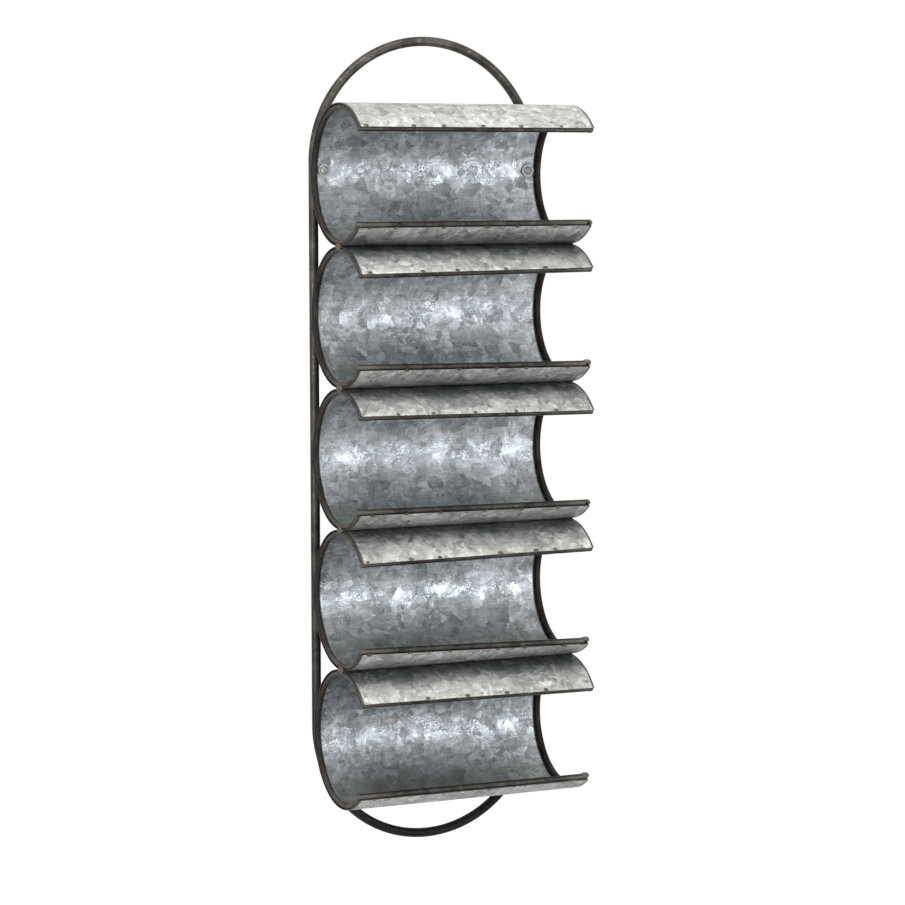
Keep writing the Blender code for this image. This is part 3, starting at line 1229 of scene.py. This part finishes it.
    def stain(self, sheet: Piece, tacks: list[Vector]) -> None:
        """Write at each point how strongly its nearest weld heated it, its painted shade and its lower tint.

        Args:
            sheet: The finished sheet.
            tacks: Places of the welds.
        """
        tree = KDTree(len(tacks))
        for number, place in enumerate(tacks):
            tree.insert(place, number)
        tree.balance()
        places = [vertex.co for vertex in sheet.data.vertices]
        distances = [tree.find(place)[2] for place in places]
        heat = [self.heat_strength * math.exp(-((distance / self.heat_reach) ** 2)) for distance in distances]
        soot = [self.shade_amount(place) for place in places]
        film = [self.filminess(place) for place in places]
        for name, values in (("heat", heat), ("soot", soot), ("film", film)):
            attribute = sheet.data.attributes.new(name, "FLOAT", "POINT")
            attribute.data.foreach_set("value", values)

    def is_inside(self, place: Vector) -> bool:
        """Say whether a point of the sheet lies on its inner wall."""
        return self.facts.reach(place) < self.facts.radius - self.wall_thickness / 2

    def filminess(self, place: Vector) -> float:
        """Darker, warmer grey on the inner wall, low in the cradle and towards its mouth, from 0 to 1.

        Args:
            place: A point of the sheet.

        Returns:
            The tint's share.
        """
        if not self.is_inside(place):
            return 0.0
        drop = (self.facts.axis.z - place.z) / self.facts.radius
        ahead = (self.facts.axis.y - place.y) / self.facts.radius
        return 1 - smooth_fall(drop, *self.low_span_shares) * smooth_fall(ahead, *self.mouth_span_shares)

    def shade_amount(self, place: Vector) -> float:
        """Painted shade beside the seams with the neighbouring cradles, on the lower lips and under the roof,
        from 0 to 1.

        Args:
            place: A point of the sheet.

        Returns:
            The share of painted shade.
        """
        facts = self.facts
        if self.is_inside(place):
            rise = (place.z - facts.axis.z) / facts.radius
            return self.roof_shares[facts.index] * (1 - smooth_fall(rise, *self.roof_span_shares))
        above = abs(facts.angle(place) - QUARTER) * facts.radius
        below = abs(facts.angle(place) - 3 * QUARTER) * facts.radius
        share = self.lower_haze_shares[facts.index] * smooth_fall(below, *self.lower_haze)
        if facts.index < CRADLE_COUNT - 1:
            share += self.soot_share * math.exp(-((below / self.soot_reach) ** 2))
        if facts.index > 0:
            share = max(share, self.upper_haze_share * smooth_fall(above, *self.upper_haze))
        return min(share, 1.0)

    def build_hoop(self, side: Side) -> None:
        """Bend an end hoop inside the sheet.

        Args:
            side: The end that the hoop holds.
        """
        facts = self.facts
        node = f"hoop_{side.label}_{self.number}"
        low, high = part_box(node)
        wire = high.x - low.x
        radius = (high.z - low.z) / 2 - wire / 2
        first, last = facts.span(node, side)
        outward = facts.direction(first)
        centre = Vector(((low.x + high.x) / 2, facts.axis.y, facts.axis.z)) + radius * outward
        name = f"bent_hoop_{side.label}_{self.number}"
        hoop = add_ring(name, centre, outward, ALONG, wire / 2, self.wire_sides)
        with editing(hoop):
            bpy.ops.mesh.select_all(action="SELECT")
            bpy.ops.mesh.spin(steps=self.hoop_steps, angle=last - first, center=facts.axis, axis=ALONG)
        close_up(hoop)
        self.beat(hoop, self.unevenness, self.dent_length)
        smooth(hoop)
        finish_piece(hoop, [self.hoop_iron_lit], (node,))

    def build_rod(self, edge: Edge) -> None:
        """Draw a lip rod from the left end to the right end.

        Args:
            edge: The lip that the rod stiffens.
        """
        node = f"lip_rod_{edge.value}_{self.number}"
        start, end = (self.facts.rod_end(edge, side) for side in Side)
        run = (end - start).normalized()
        radius = max((point - start).length for point in self.facts.side_points(node, Side.LEFT))
        outward = self.facts.direction(self.facts.angle(start))
        name = f"edge_rod_{edge.value}_{self.number}"
        rod = add_ring(name, start, outward, ALONG.cross(outward), radius, self.wire_sides)
        with editing(rod):
            bpy.ops.mesh.select_all(action="SELECT")
            for _ in range(self.rod_cuts + 1):
                extend((end - start) / (self.rod_cuts + 1))
        close_up(rod)
        with editing(rod, "FACE"):
            pick_faces(rod, lambda centre, normal: abs(normal.dot(run)) > PARALLEL_SHARE)
            bpy.ops.mesh.bevel(
                offset=radius * self.rod_round_share, segments=self.rod_round_cuts, affect="EDGES"
            )
        self.beat(rod, self.unevenness, self.dent_length)
        if edge is Edge.LOWER and self.number < CRADLE_COUNT:
            self.drill_pit(rod)
        smooth(rod)
        finish_piece(rod, [self.rod_iron[edge]], (node,))

    def tack_points(self, edge: Edge) -> list[Vector]:
        """Places of the tack welds along a lip, on the sheet's outer face.

        Args:
            edge: The lip.

        Returns:
            Points along the lip's edge.
        """
        facts = self.facts
        shares = (UPPER_TACK_SHARES if edge is Edge.UPPER else LOWER_TACK_SHARES)[facts.index]
        left, right = (facts.lip_edge(edge, side) for side in Side)
        inset = (self.upper_tack_inset if edge is Edge.UPPER else -self.lower_tack_inset) / facts.radius
        points = []
        for share in shares:
            angle = left + (right - left) * share + inset
            across = ALONG * (share - 0.5) * facts.length
            points.append(facts.axis + across + facts.radius * facts.direction(angle))
        return points

    def build_tacks(self, edge: Edge, points: list[Vector]) -> None:
        """Set a row of tack welds on a lip.

        Args:
            edge: The lip.
            points: Their places.
        """
        copies = []
        for count, point in enumerate(points):
            outward = self.facts.direction(self.facts.angle(point))
            turn = turn_to(ALONG, outward.cross(ALONG))
            share = self.chance.uniform(*self.tack_size_shares)
            spin = Matrix.Rotation(self.chance.uniform(-self.tack_spin, self.tack_spin), 4, "Z")
            width, height, depth = self.tack_size
            place = placed(point, turn, (width * share, height * share, depth)) @ spin
            master = self.chance.choice(self.beads)
            copies.append(copy_at(master, f"tack_{self.number}_{edge.value}_{count}", place))
        tacks = join_pieces(copies, f"tack_welds_{edge.value}_{self.number}")
        finish_piece(tacks, [self.weld])

    def build_corner_welds(self, side: Side) -> None:
        """Set the beads that close the corners between a hoop and the lip rods.

        Args:
            side: The end of the cradle.
        """
        facts = self.facts
        copies = []
        for edge in Edge:
            end = facts.rod_end(edge, side)
            if (edge, side) == (Edge.LOWER, Side.RIGHT):
                copies.append(self.build_knob(end))
                continue
            outward = facts.direction(facts.angle(end))
            around = (end - facts.axis).cross(ALONG).normalized() * (1 if edge is Edge.UPPER else -1)
            width = self.corner_width * self.chance.uniform(*self.corner_width_shares)
            middle = end - ALONG * side.value * width * self.corner_inset_share
            middle += (around - outward) * self.corner_shift
            size = [width * share for share in self.corner_shape_shares]
            place = placed(middle, turn_to(ALONG, outward.cross(ALONG)), size)
            master = self.chance.choice(self.beads)
            copies.append(copy_at(master, f"corner_{edge.value}_{side.label}_{self.number}", place))
        welds = join_pieces(copies, f"corner_welds_{side.label}_{self.number}")
        finish_piece(welds, [self.weld])

    def build_knob(self, end: Vector) -> Piece:
        """Set the round knob at the right end of the lower lip, with a pit in all but the lowest one.

        Args:
            end: Middle of the rod's end face.

        Returns:
            The knob.
        """
        lift = self.knob_lift if self.number in RAISED_KNOBS else 0.0
        middle = end - ALONG * self.knob_inset + UPWARD * lift
        place = placed(middle, turn_to(ALONG, UPWARD), self.knob_half)
        knob = copy_at(self.beads[0], f"knob_{self.number}", place)
        if self.number < CRADLE_COUNT:
            self.drill_pit(knob)
        return knob

    def drill_pit(self, piece: Piece) -> None:
        """Drill the blind pit at the right end of the lower lip, from the front.

        Args:
            piece: The rod or the knob.
        """
        end = self.facts.rod_end(Edge.LOWER, Side.RIGHT)
        front = end - ALONG * self.pit_inset - BACKWARD * self.pit_front - UPWARD * self.pit_drop
        bpy.ops.mesh.primitive_cylinder_add(
            vertices=self.pit_sides,
            radius=self.pit_radius,
            depth=self.pit_depth,
            location=front,
            rotation=(QUARTER, 0.0, 0.0),
        )
        cutter = start_piece("pit_cutter")
        apply_modifier(piece, "BOOLEAN", operation="DIFFERENCE", solver="EXACT", object=cutter)
        bpy.data.objects.remove(cutter, do_unlink=True)


@dataclass
class WallFrame:
    """The tube loop that carries the cradles."""

    iron: bpy.types.Material
    node: str = "wall_frame"
    tube_sides: int = 32
    arch_steps: int = 96
    stile_cuts: int = 40

    def build(self) -> None:
        """Bend one tube into a loop with half-round ends."""
        low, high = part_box(self.node)
        tube = high.y - low.y
        bend = (high.x - low.x - tube) / 2
        depth = (low.y + high.y) / 2
        top = Vector((0.0, depth, high.z - tube / 2 - bend))
        bottom = Vector((0.0, depth, low.z + tube / 2 + bend))
        run = bottom - top
        loop = add_ring("tube_loop", top + bend * ALONG, ALONG, BACKWARD, tube / 2, self.tube_sides)
        with editing(loop):
            bpy.ops.mesh.select_all(action="SELECT")
            bpy.ops.mesh.spin(steps=self.arch_steps, angle=math.pi, center=top, axis=BACKWARD)
            for _ in range(self.stile_cuts):
                extend(run / self.stile_cuts)
            bpy.ops.mesh.spin(steps=self.arch_steps, angle=math.pi, center=bottom, axis=BACKWARD)
            for _ in range(self.stile_cuts):
                extend(-run / self.stile_cuts)
        close_up(loop)
        smooth(loop)
        finish_piece(loop, [self.iron], (self.node,))


@dataclass
class FrameWelds:
    """Welds between neighbouring hoops, and between the sheets and the stiles."""

    weld: bpy.types.Material
    beads: list[Piece]
    chance: random.Random = field(default_factory=lambda: random.Random(PILE_SEED))
    # Mounds of a junction weld: place across and size, as shares of its half depth
    mound_shares: tuple[Span, ...] = ((0.0, 0.78), (-0.5, 0.52), (0.48, 0.55), (-0.16, 0.66), (0.2, 0.6))
    scatter_share: float = 0.12
    sinking_share: float = 0.3
    rise_share: float = 1.2
    depth_share: float = 0.72
    mound_spin: float = 0.5
    mound_voxel: float = 0.00045
    mound_rounds: int = 4
    # Ripples of a stile weld, as shares of its half length
    ripples: int = 6
    run_share: float = 0.85
    taper_share: float = 0.8
    overlap_share: float = 1.7
    ripple_voxel: float = 0.0004
    ripple_rounds: int = 2
    smoothing: float = 0.5
    crease: float = 80.0

    def build(self) -> None:
        """Build every weld of the frame."""
        for side in Side:
            for number in range(1, CRADLE_COUNT):
                self.build_junction(side, number)
            for number in range(1, CRADLE_COUNT + 1):
                self.build_stile_bead(side, number)

    def build_junction(self, side: Side, number: int) -> None:
        """Pile the weld that ties two hoops where their cradles touch.

        Args:
            side: The end of the rack.
            number: The upper one of the two cradles.
        """
        node = f"junction_weld_{side.label}_{number}"
        low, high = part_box(node)
        centre = (low + high) / 2
        half = (high - low) / 2
        base = Vector((low.x if side is Side.RIGHT else high.x, centre.y, centre.z))
        rise = high.x - low.x
        copies = []
        for share, size in self.mound_shares:
            scatter = self.chance.uniform(-self.scatter_share, self.scatter_share)
            middle = base + BACKWARD * half.y * share + UPWARD * half.z * scatter
            middle -= ALONG * side.value * rise * self.sinking_share
            spin = Matrix.Rotation(self.chance.uniform(-self.mound_spin, self.mound_spin), 4, "X")
            extents = (rise * self.rise_share, half.y * size * self.depth_share, half.z * size)
            master = self.chance.choice(self.beads)
            copies.append(copy_at(master, f"{node}_{share}", placed(middle, spin, extents)))
        name = f"hoop_weld_{side.label}_{number}"
        self.fuse(copies, name, node, self.mound_voxel, self.mound_rounds)

    def build_stile_bead(self, side: Side, number: int) -> None:
        """Lay a rippled bead in the crevice between a stile and the back of a sheet.

        Args:
            side: The stile.
            number: The cradle.
        """
        node = f"stile_weld_{side.label}_{number}"
        low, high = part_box(node)
        centre = (low + high) / 2
        half = (high - low) / 2
        copies = []
        for count in range(self.ripples):
            share = (count + 0.5) / self.ripples * 2 - 1
            middle = centre + UPWARD * half.z * share * self.run_share
            size = math.sqrt(1 - (share * self.taper_share) ** 2)
            extents = (half.x * size, half.y * size, half.z / self.ripples * self.overlap_share)
            master = self.beads[count % len(self.beads)]
            copies.append(copy_at(master, f"{node}_{count}", placed(middle, Matrix.Identity(4), extents)))
        name = f"stile_bead_{side.label}_{number}"
        self.fuse(copies, name, node, self.ripple_voxel, self.ripple_rounds)

    def fuse(self, copies: list[Piece], name: str, node: str, voxel: float, rounds: int) -> None:
        """Fuse overlapping mounds into one weld and dress it.

        Args:
            copies: The mounds.
            name: The weld's name.
            node: The node that it stands for.
            voxel: Fineness of the fused skin.
            rounds: How often the skin is smoothed.
        """
        weld = join_pieces(copies, name)
        apply_modifier(weld, "REMESH", mode="VOXEL", voxel_size=voxel)
        apply_modifier(weld, "SMOOTH", factor=self.smoothing, iterations=rounds)
        smooth(weld, self.crease)
        finish_piece(weld, [self.weld], (node,))


@dataclass
class FixingLine:
    """Line of one screw through its washer, square to the top cradle's back."""

    side: Side
    facts: CradleFacts
    turned_sides: int = 48
    hole_radius: float = 0.0026
    hole_reach: float = 0.003

    def __post_init__(self) -> None:
        """Find the line from the washer."""
        low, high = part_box(f"fixing_washer_{self.side.label}")
        middle = (low + high) / 2
        self.origin = Vector((middle.x, self.facts.axis.y, self.facts.axis.z))
        self.out = (middle - self.origin).normalized()
        self.up = self.out.cross(ALONG)

    def span(self, node: str) -> tuple[float, float]:
        """Nearest and farthest reach of a node along the fixing's line."""
        reaches = [(point - self.origin).dot(self.out) for point in node_points(node)]
        return min(reaches), max(reaches)

    def turned(self, name: str, profile: list[tuple[float, float]]) -> Piece:
        """Turn a round piece on the fixing's line.

        Args:
            name: The piece's name.
            profile: Pairs of reach and radius, from one end to the other.

        Returns:
            The open turned shell.
        """
        reach, radius = profile[0]
        centre = self.origin + self.out * reach
        piece = add_ring(name, centre, ALONG, self.up, radius, self.turned_sides)
        with editing(piece):
            bpy.ops.mesh.select_all(action="SELECT")
            for next_reach, next_radius in profile[1:]:
                extend(self.out * (next_reach - reach))
                factor = next_radius / radius
                middle = self.origin + self.out * next_reach
                bpy.ops.transform.resize(value=(factor,) * 3, center_override=middle)
                reach, radius = next_reach, next_radius
        return piece

    def drill(self, sheet: Piece) -> None:
        """Drill the sheet for the screw.

        Args:
            sheet: The sheet of the top cradle.
        """
        back = self.facts.radius
        ends = (back - self.hole_reach, back + self.hole_reach)
        drill = self.turned("drill", [(reach, self.hole_radius) for reach in ends])
        close_up(drill)
        apply_modifier(sheet, "BOOLEAN", operation="DIFFERENCE", solver="EXACT", object=drill)
        bpy.data.objects.remove(drill, do_unlink=True)


@dataclass
class Fixing:
    """One screw, its washer and its boss."""

    line: FixingLine
    steel: bpy.types.Material
    iron: bpy.types.Material
    bore: float = 0.0023
    # Washer
    washer_soft_share: float = 0.2
    washer_crease: float = 30.0
    # Screw: its shank, and the shape of its domed head as shares of the head's height and radius
    shank: float = 0.002
    tip_share: float = 0.8
    tip_chamfer: float = 0.0004
    seat_share: float = 0.97
    brim_share: float = 0.12
    crown_share: float = 0.02
    dome_steps: int = 9
    crease: float = 35.0
    # Bars of the cross recess: turn of the first one, length and width as shares of the head's radius
    bar_turn: float = 0.35
    bar_length_share: float = 1.15
    bar_width_share: float = 0.26
    bar_depth: float = 0.0026
    # Boss
    boss_floor: float = 0.002
    boss_soft: float = 0.0004
    cut_catch: float = 0.000001

    def __post_init__(self) -> None:
        """Take the line's side for the names of the pieces."""
        self.label = self.line.side.label

    def build(self) -> None:
        """Build the screw, the washer and the boss."""
        self.build_washer()
        self.build_screw()
        self.build_boss()

    def dress(
        self, piece: Piece, crease: float, material: bpy.types.Material, slot: Slot, node: str
    ) -> None:
        """Shade a turned piece and dress it.

        Args:
            piece: The closed piece.
            crease: Angle in degrees from which its edges stay crisp.
            material: Its material.
            slot: Not used.
            node: The node that it stands for.
        """
        smooth(piece, crease)
        finish_piece(piece, [material], (node,))

    def build_washer(self) -> None:
        """Turn the washer with rolled-over edges."""
        node = f"fixing_washer_{self.label}"
        low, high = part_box(node)
        front, back = self.line.span(node)
        outer = (high.x - low.x) / 2
        soft = (back - front) * self.washer_soft_share
        profile = [
            (back, outer),
            (front + soft, outer),
            (front, outer - soft),
            (front, self.bore + soft),
            (front + soft, self.bore),
            (back, self.bore),
            (back, outer),
        ]
        washer = self.line.turned(f"flat_washer_{self.label}", profile)
        close_up(washer)
        self.dress(washer, self.washer_crease, self.steel, Slot.STEEL, node)

    def build_screw(self) -> None:
        """Turn the screw and cut its cross recess."""
        node = f"fixing_screw_{self.label}"
        crown, tip = self.line.span(node)
        low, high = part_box(node)
        head = (high.x - low.x) / 2
        seat = self.line.span(f"fixing_washer_{self.label}")[0] - SEAT_GAP
        height = seat - crown
        profile = [
            (tip, self.shank * self.tip_share),
            (tip - self.tip_chamfer, self.shank),
            (seat, self.shank),
            (seat, head * self.seat_share),
            (seat - height * self.brim_share, head),
        ]
        for step in range(1, self.dome_steps):
            turn = QUARTER * step / self.dome_steps
            rise_share = self.brim_share + (1 - self.brim_share) * math.sin(turn)
            profile.append((seat - height * rise_share, head * math.cos(turn)))
        profile.append((crown, head * self.crown_share))
        screw = self.line.turned(f"round_screw_{self.label}", profile)
        close_up(screw)
        for turn in (self.bar_turn, self.bar_turn + QUARTER):
            self.cut_bar(screw, turn, crown, head)
        self.dress(screw, self.crease, self.steel, Slot.STEEL, node)

    def cut_bar(self, screw: Piece, turn: float, crown: float, head: float) -> None:
        """Cut one bar of the cross recess.

        Args:
            screw: The screw.
            turn: The bar's turn about the screw's line.
            crown: Reach of the head's crown.
            head: The head's radius.
        """
        line = self.line
        place = turn_to(ALONG, line.up).to_4x4() @ Matrix.Rotation(turn, 4, "Z")
        size = (head * self.bar_length_share, head * self.bar_width_share, self.bar_depth)
        bpy.ops.mesh.primitive_cube_add(size=1.0)
        bar = bpy.context.active_object
        bar.data.transform(placed(line.origin + line.out * crown, place, size))
        apply_modifier(screw, "BOOLEAN", operation="DIFFERENCE", solver="EXACT", object=bar)
        bpy.data.objects.remove(bar, do_unlink=True)

    def build_boss(self) -> None:
        """Turn the blind boss behind the sheet and cut it flat at the wall."""
        node = f"fixing_boss_{self.label}"
        low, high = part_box(node)
        radius = (high.x - low.x) / 2
        front = self.line.span(node)[0]
        back = high.y - self.line.origin.y
        profile = [
            (back - self.boss_floor, self.bore),
            (front, self.bore),
            (front, radius - self.boss_soft),
            (front + self.boss_soft, radius),
            (back - self.boss_soft, radius),
            (back, radius - self.boss_soft),
        ]
        boss = self.line.turned(f"round_boss_{self.label}", profile)
        with editing(boss):
            bpy.ops.mesh.select_all(action="SELECT")
            bpy.ops.mesh.bisect(
                plane_co=(0.0, high.y, 0.0), plane_no=BACKWARD, clear_outer=True, threshold=self.cut_catch
            )
        close_up(boss)
        self.dress(boss, self.crease, self.iron, Slot.TUBE, node)


@dataclass(frozen=True)
class Camera:
    """The photograph's viewing place and angle."""

    place: Place = (-1.236886, -2.701952, -0.139558)
    yaw: float = math.radians(25.1669)
    pitch: float = math.radians(-5.222)
    roll: float = math.radians(-0.1147)
    lens: float = 116.27
    sensor: float = 36.0

    def build(self) -> None:
        """Set up the camera."""
        forward = Vector(
            (
                math.sin(self.yaw) * math.cos(self.pitch),
                math.cos(self.yaw) * math.cos(self.pitch),
                math.sin(self.pitch),
            )
        )
        level = Vector((math.cos(self.yaw), -math.sin(self.yaw), 0.0))
        steep = level.cross(forward)
        right = level * math.cos(self.roll) + steep * math.sin(self.roll)
        up = steep * math.cos(self.roll) - level * math.sin(self.roll)
        data = bpy.data.cameras.new("photo_camera")
        data.lens = self.lens
        data.sensor_width = self.sensor
        camera = bpy.data.objects.new("photo_camera", data)
        bpy.context.collection.objects.link(camera)
        camera.matrix_world = Matrix.Translation(self.place) @ turn_to(right, up).to_4x4()
        bpy.context.scene.camera = camera


@dataclass(frozen=True)
class Lamp:
    """One soft lamp, aimed at the rack."""

    name: str
    place: Place
    target: Place
    width: float
    height: float
    power: float
    tint: Colour = WHITE

    def build(self) -> None:
        """Hang the lamp and aim it."""
        data = bpy.data.lights.new(self.name, "AREA")
        data.shape = "RECTANGLE"
        data.size = self.width
        data.size_y = self.height
        data.energy = self.power
        data.color = self.tint
        lamp = bpy.data.objects.new(self.name, data)
        bpy.context.collection.objects.link(lamp)
        lamp.location = self.place
        lamp.rotation_euler = (Vector(self.target) - Vector(self.place)).to_track_quat("-Z", "Y").to_euler()


@dataclass
class Studio:
    """Pale floor, white surroundings and soft lamps."""

    floor_drop: float = 0.9
    floor_reach: float = 40.0
    floor_cuts: int = 8
    floor_noise: Noise = Noise(0.4)
    floor_dark: Colour = (0.40, 0.41, 0.42)
    floor_light: Colour = (0.44, 0.45, 0.46)
    floor_roughness: float = 0.9
    floor_glow: float = 0.85
    ambient: float = 0.29
    lamps: tuple[Lamp, ...] = (
        Lamp("front_softbox", (1.5, -2.6, -0.35), (0.0, 0.0, -0.4), 1.3, 1.0, 24.0, (0.90, 0.95, 1.0)),
        Lamp("top_softbox", (-0.4, -1.6, 1.9), (0.0, 0.0, -0.3), 2.0, 1.4, 54.0, (1.0, 0.99, 0.96)),
        Lamp("left_softbox", (-2.4, -1.5, -0.4), (0.0, 0.0, -0.4), 0.3, 1.6, 38.0, (1.0, 0.97, 0.93)),
    )

    def build(self) -> None:
        """Build the floor, the surroundings and the lamps."""
        self.build_floor()
        self.build_surroundings()
        for lamp in self.lamps:
            lamp.build()
        bpy.context.scene.view_settings.view_transform = "Standard"

    def build_floor(self) -> None:
        """Lay a pale floor below the rack."""
        low, _ = CAD_BOX
        bpy.ops.mesh.primitive_grid_add(
            x_subdivisions=self.floor_cuts,
            y_subdivisions=self.floor_cuts,
            size=self.floor_reach,
            location=(0.0, 0.0, low.z - self.floor_drop),
        )
        floor = start_piece("studio_floor")
        graph = Graph("pale_floor")
        base = graph.mixed(graph.noise(self.floor_noise), self.floor_dark, self.floor_light)
        path = graph.add("ShaderNodeLightPath").outputs
        seen = graph.sum("MAXIMUM", path["Is Camera Ray"], path["Is Glossy Ray"])
        seen = graph.sum("MAXIMUM", seen, path["Is Transmission Ray"])
        material = graph.dress(
            Base_Color=base,
            Roughness=self.floor_roughness,
            Emission_Color=WHITE,
            Emission_Strength=graph.sum("MULTIPLY", seen, self.floor_glow),
        )
        floor.data.materials.append(material)

    def build_surroundings(self) -> None:
        """Make the world white to the camera and in reflections, and dimmer as light."""
        world = bpy.data.worlds.new("white_studio")
        world.use_nodes = True
        bpy.context.scene.world = world
        nodes, links = world.node_tree.nodes, world.node_tree.links
        background = nodes["Background"]
        background.inputs["Color"].default_value = (*WHITE, 1.0)
        path = nodes.new("ShaderNodeLightPath")
        seen = path.outputs["Is Camera Ray"]
        for ray in ("Is Glossy Ray", "Is Transmission Ray"):
            either = nodes.new("ShaderNodeMath")
            either.operation = "MAXIMUM"
            links.new(seen, either.inputs[0])
            links.new(path.outputs[ray], either.inputs[1])
            seen = either.outputs[0]
        strength = nodes.new("ShaderNodeMapRange")
        strength.inputs["To Min"].default_value = self.ambient
        strength.inputs["To Max"].default_value = 1.0
        links.new(seen, strength.inputs["Value"])
        links.new(strength.outputs["Result"], background.inputs["Strength"])


def inner_rings(facts: list[CradleFacts]) -> tuple[Ring, ...]:
    """Round marks inside the cradles: over the welds to the frame, and about the right screw.

    Args:
        facts: The cradles from the top.

    Returns:
        The rings.
    """
    rings = []
    for number, across, height in WELD_MARKS:
        fact = facts[number - 1]
        back = math.pi - math.asin(height / fact.radius)
        centre = fact.axis + ALONG * across + fact.radius * fact.direction(back)
        rings.extend(Ring(centre, *ring) for ring in MARK_RINGS)
    low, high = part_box(f"fixing_washer_{Side.RIGHT.label}")
    rings.append(Ring((low + high) / 2, *WASHER_RING))
    return tuple(rings)


def main() -> None:
    """Build the rack's looks and the studio in order."""
    logging.basicConfig(level=logging.INFO, format="%(message)s")
    facts = [CradleFacts.read(index) for index in range(CRADLE_COUNT)]
    zinc_outside = ZincFinish(
        "zinc_outside",
        dark=(0.25, 0.256, 0.243),
        middle=(0.53, 0.538, 0.507),
        light=(0.86, 0.87, 0.835),
        metallic=0.16,
        glossy=0.36,
        matte=0.55,
        streak_share=0.22,
        grain_share=0.16,
        fleck_share=0.5,
        relief=0.00014,
    ).make()
    # The inner wall's zinc: a darker, bluer copy of the outer zinc, whose darkness is painted shade
    zinc_inside = ZincFinish(
        "zinc_inside",
        dark=(0.25, 0.259, 0.265),
        middle=(0.43, 0.454, 0.475),
        light=(0.71, 0.745, 0.79),
        glossy=0.27,
        grain_share=0.55,
        fleck_share=0.5,
        # Inside, the dark band at the ends is painted contact shadow beside the hoops
        rim_span=(0.1188, 0.1198),
        rings=inner_rings(facts),
    ).make()
    cut_edge = WeldFinish("browned_edge", dark=(0.018, 0.016, 0.014), light=(0.06, 0.054, 0.048)).make()
    # The hoops' iron: a lighter copy of the rods' iron on the same wire, painted light
    hoop_iron_lit = IronFinish(
        "waxed_hoop_lit",
        dark=(0.044, 0.038, 0.032),
        light=(0.142, 0.122, 0.103),
        worn=(0.28, 0.245, 0.21),
        # Painted shade on the hoop towards the wall
        wall_share=0.72,
    ).make()
    # Rods: painted shade on faces turned down, and on the lower rod also on faces turned up
    upper_iron = IronFinish("waxed_upper_rod", downward_share=0.7, worn_ends_share=0.35)
    lower_iron = IronFinish("waxed_lower_rod", upward_share=0.7, downward_share=0.8, worn_ends_share=0.45)
    # The rods' iron is the darker copy of the same wire: painted shade
    rod_iron = {Edge.UPPER: upper_iron.make(), Edge.LOWER: lower_iron.make()}
    tube_iron = IronFinish(
        "waxed_tube",
        dark=(0.045, 0.041, 0.036),
        light=(0.115, 0.105, 0.093),
        worn=(0.30, 0.275, 0.245),
        # Painted shade on the stiles beside the cradles and low on the tube
        crevice_share=0.85,
        foot_share=0.45,
    ).make()
    weld_metal = WeldFinish("weld_skin").make()
    plated = SteelFinish("plated_steel").make()
    beads = [Bead(f"bead_{seed}", seed).model() for seed in BEAD_SEEDS]
    WallFrame(tube_iron).build()
    for fact in facts:
        Cradle(fact, zinc_outside, zinc_inside, cut_edge, hoop_iron_lit, rod_iron, weld_metal, beads).build()
    FrameWelds(weld_metal, beads).build()
    for side in Side:
        Fixing(FixingLine(side, facts[0]), plated, tube_iron).build()
    for master in beads:
        bpy.data.objects.remove(master, do_unlink=True)
    Camera().build()
    Studio().build()


if __name__ == "__main__":
    main()
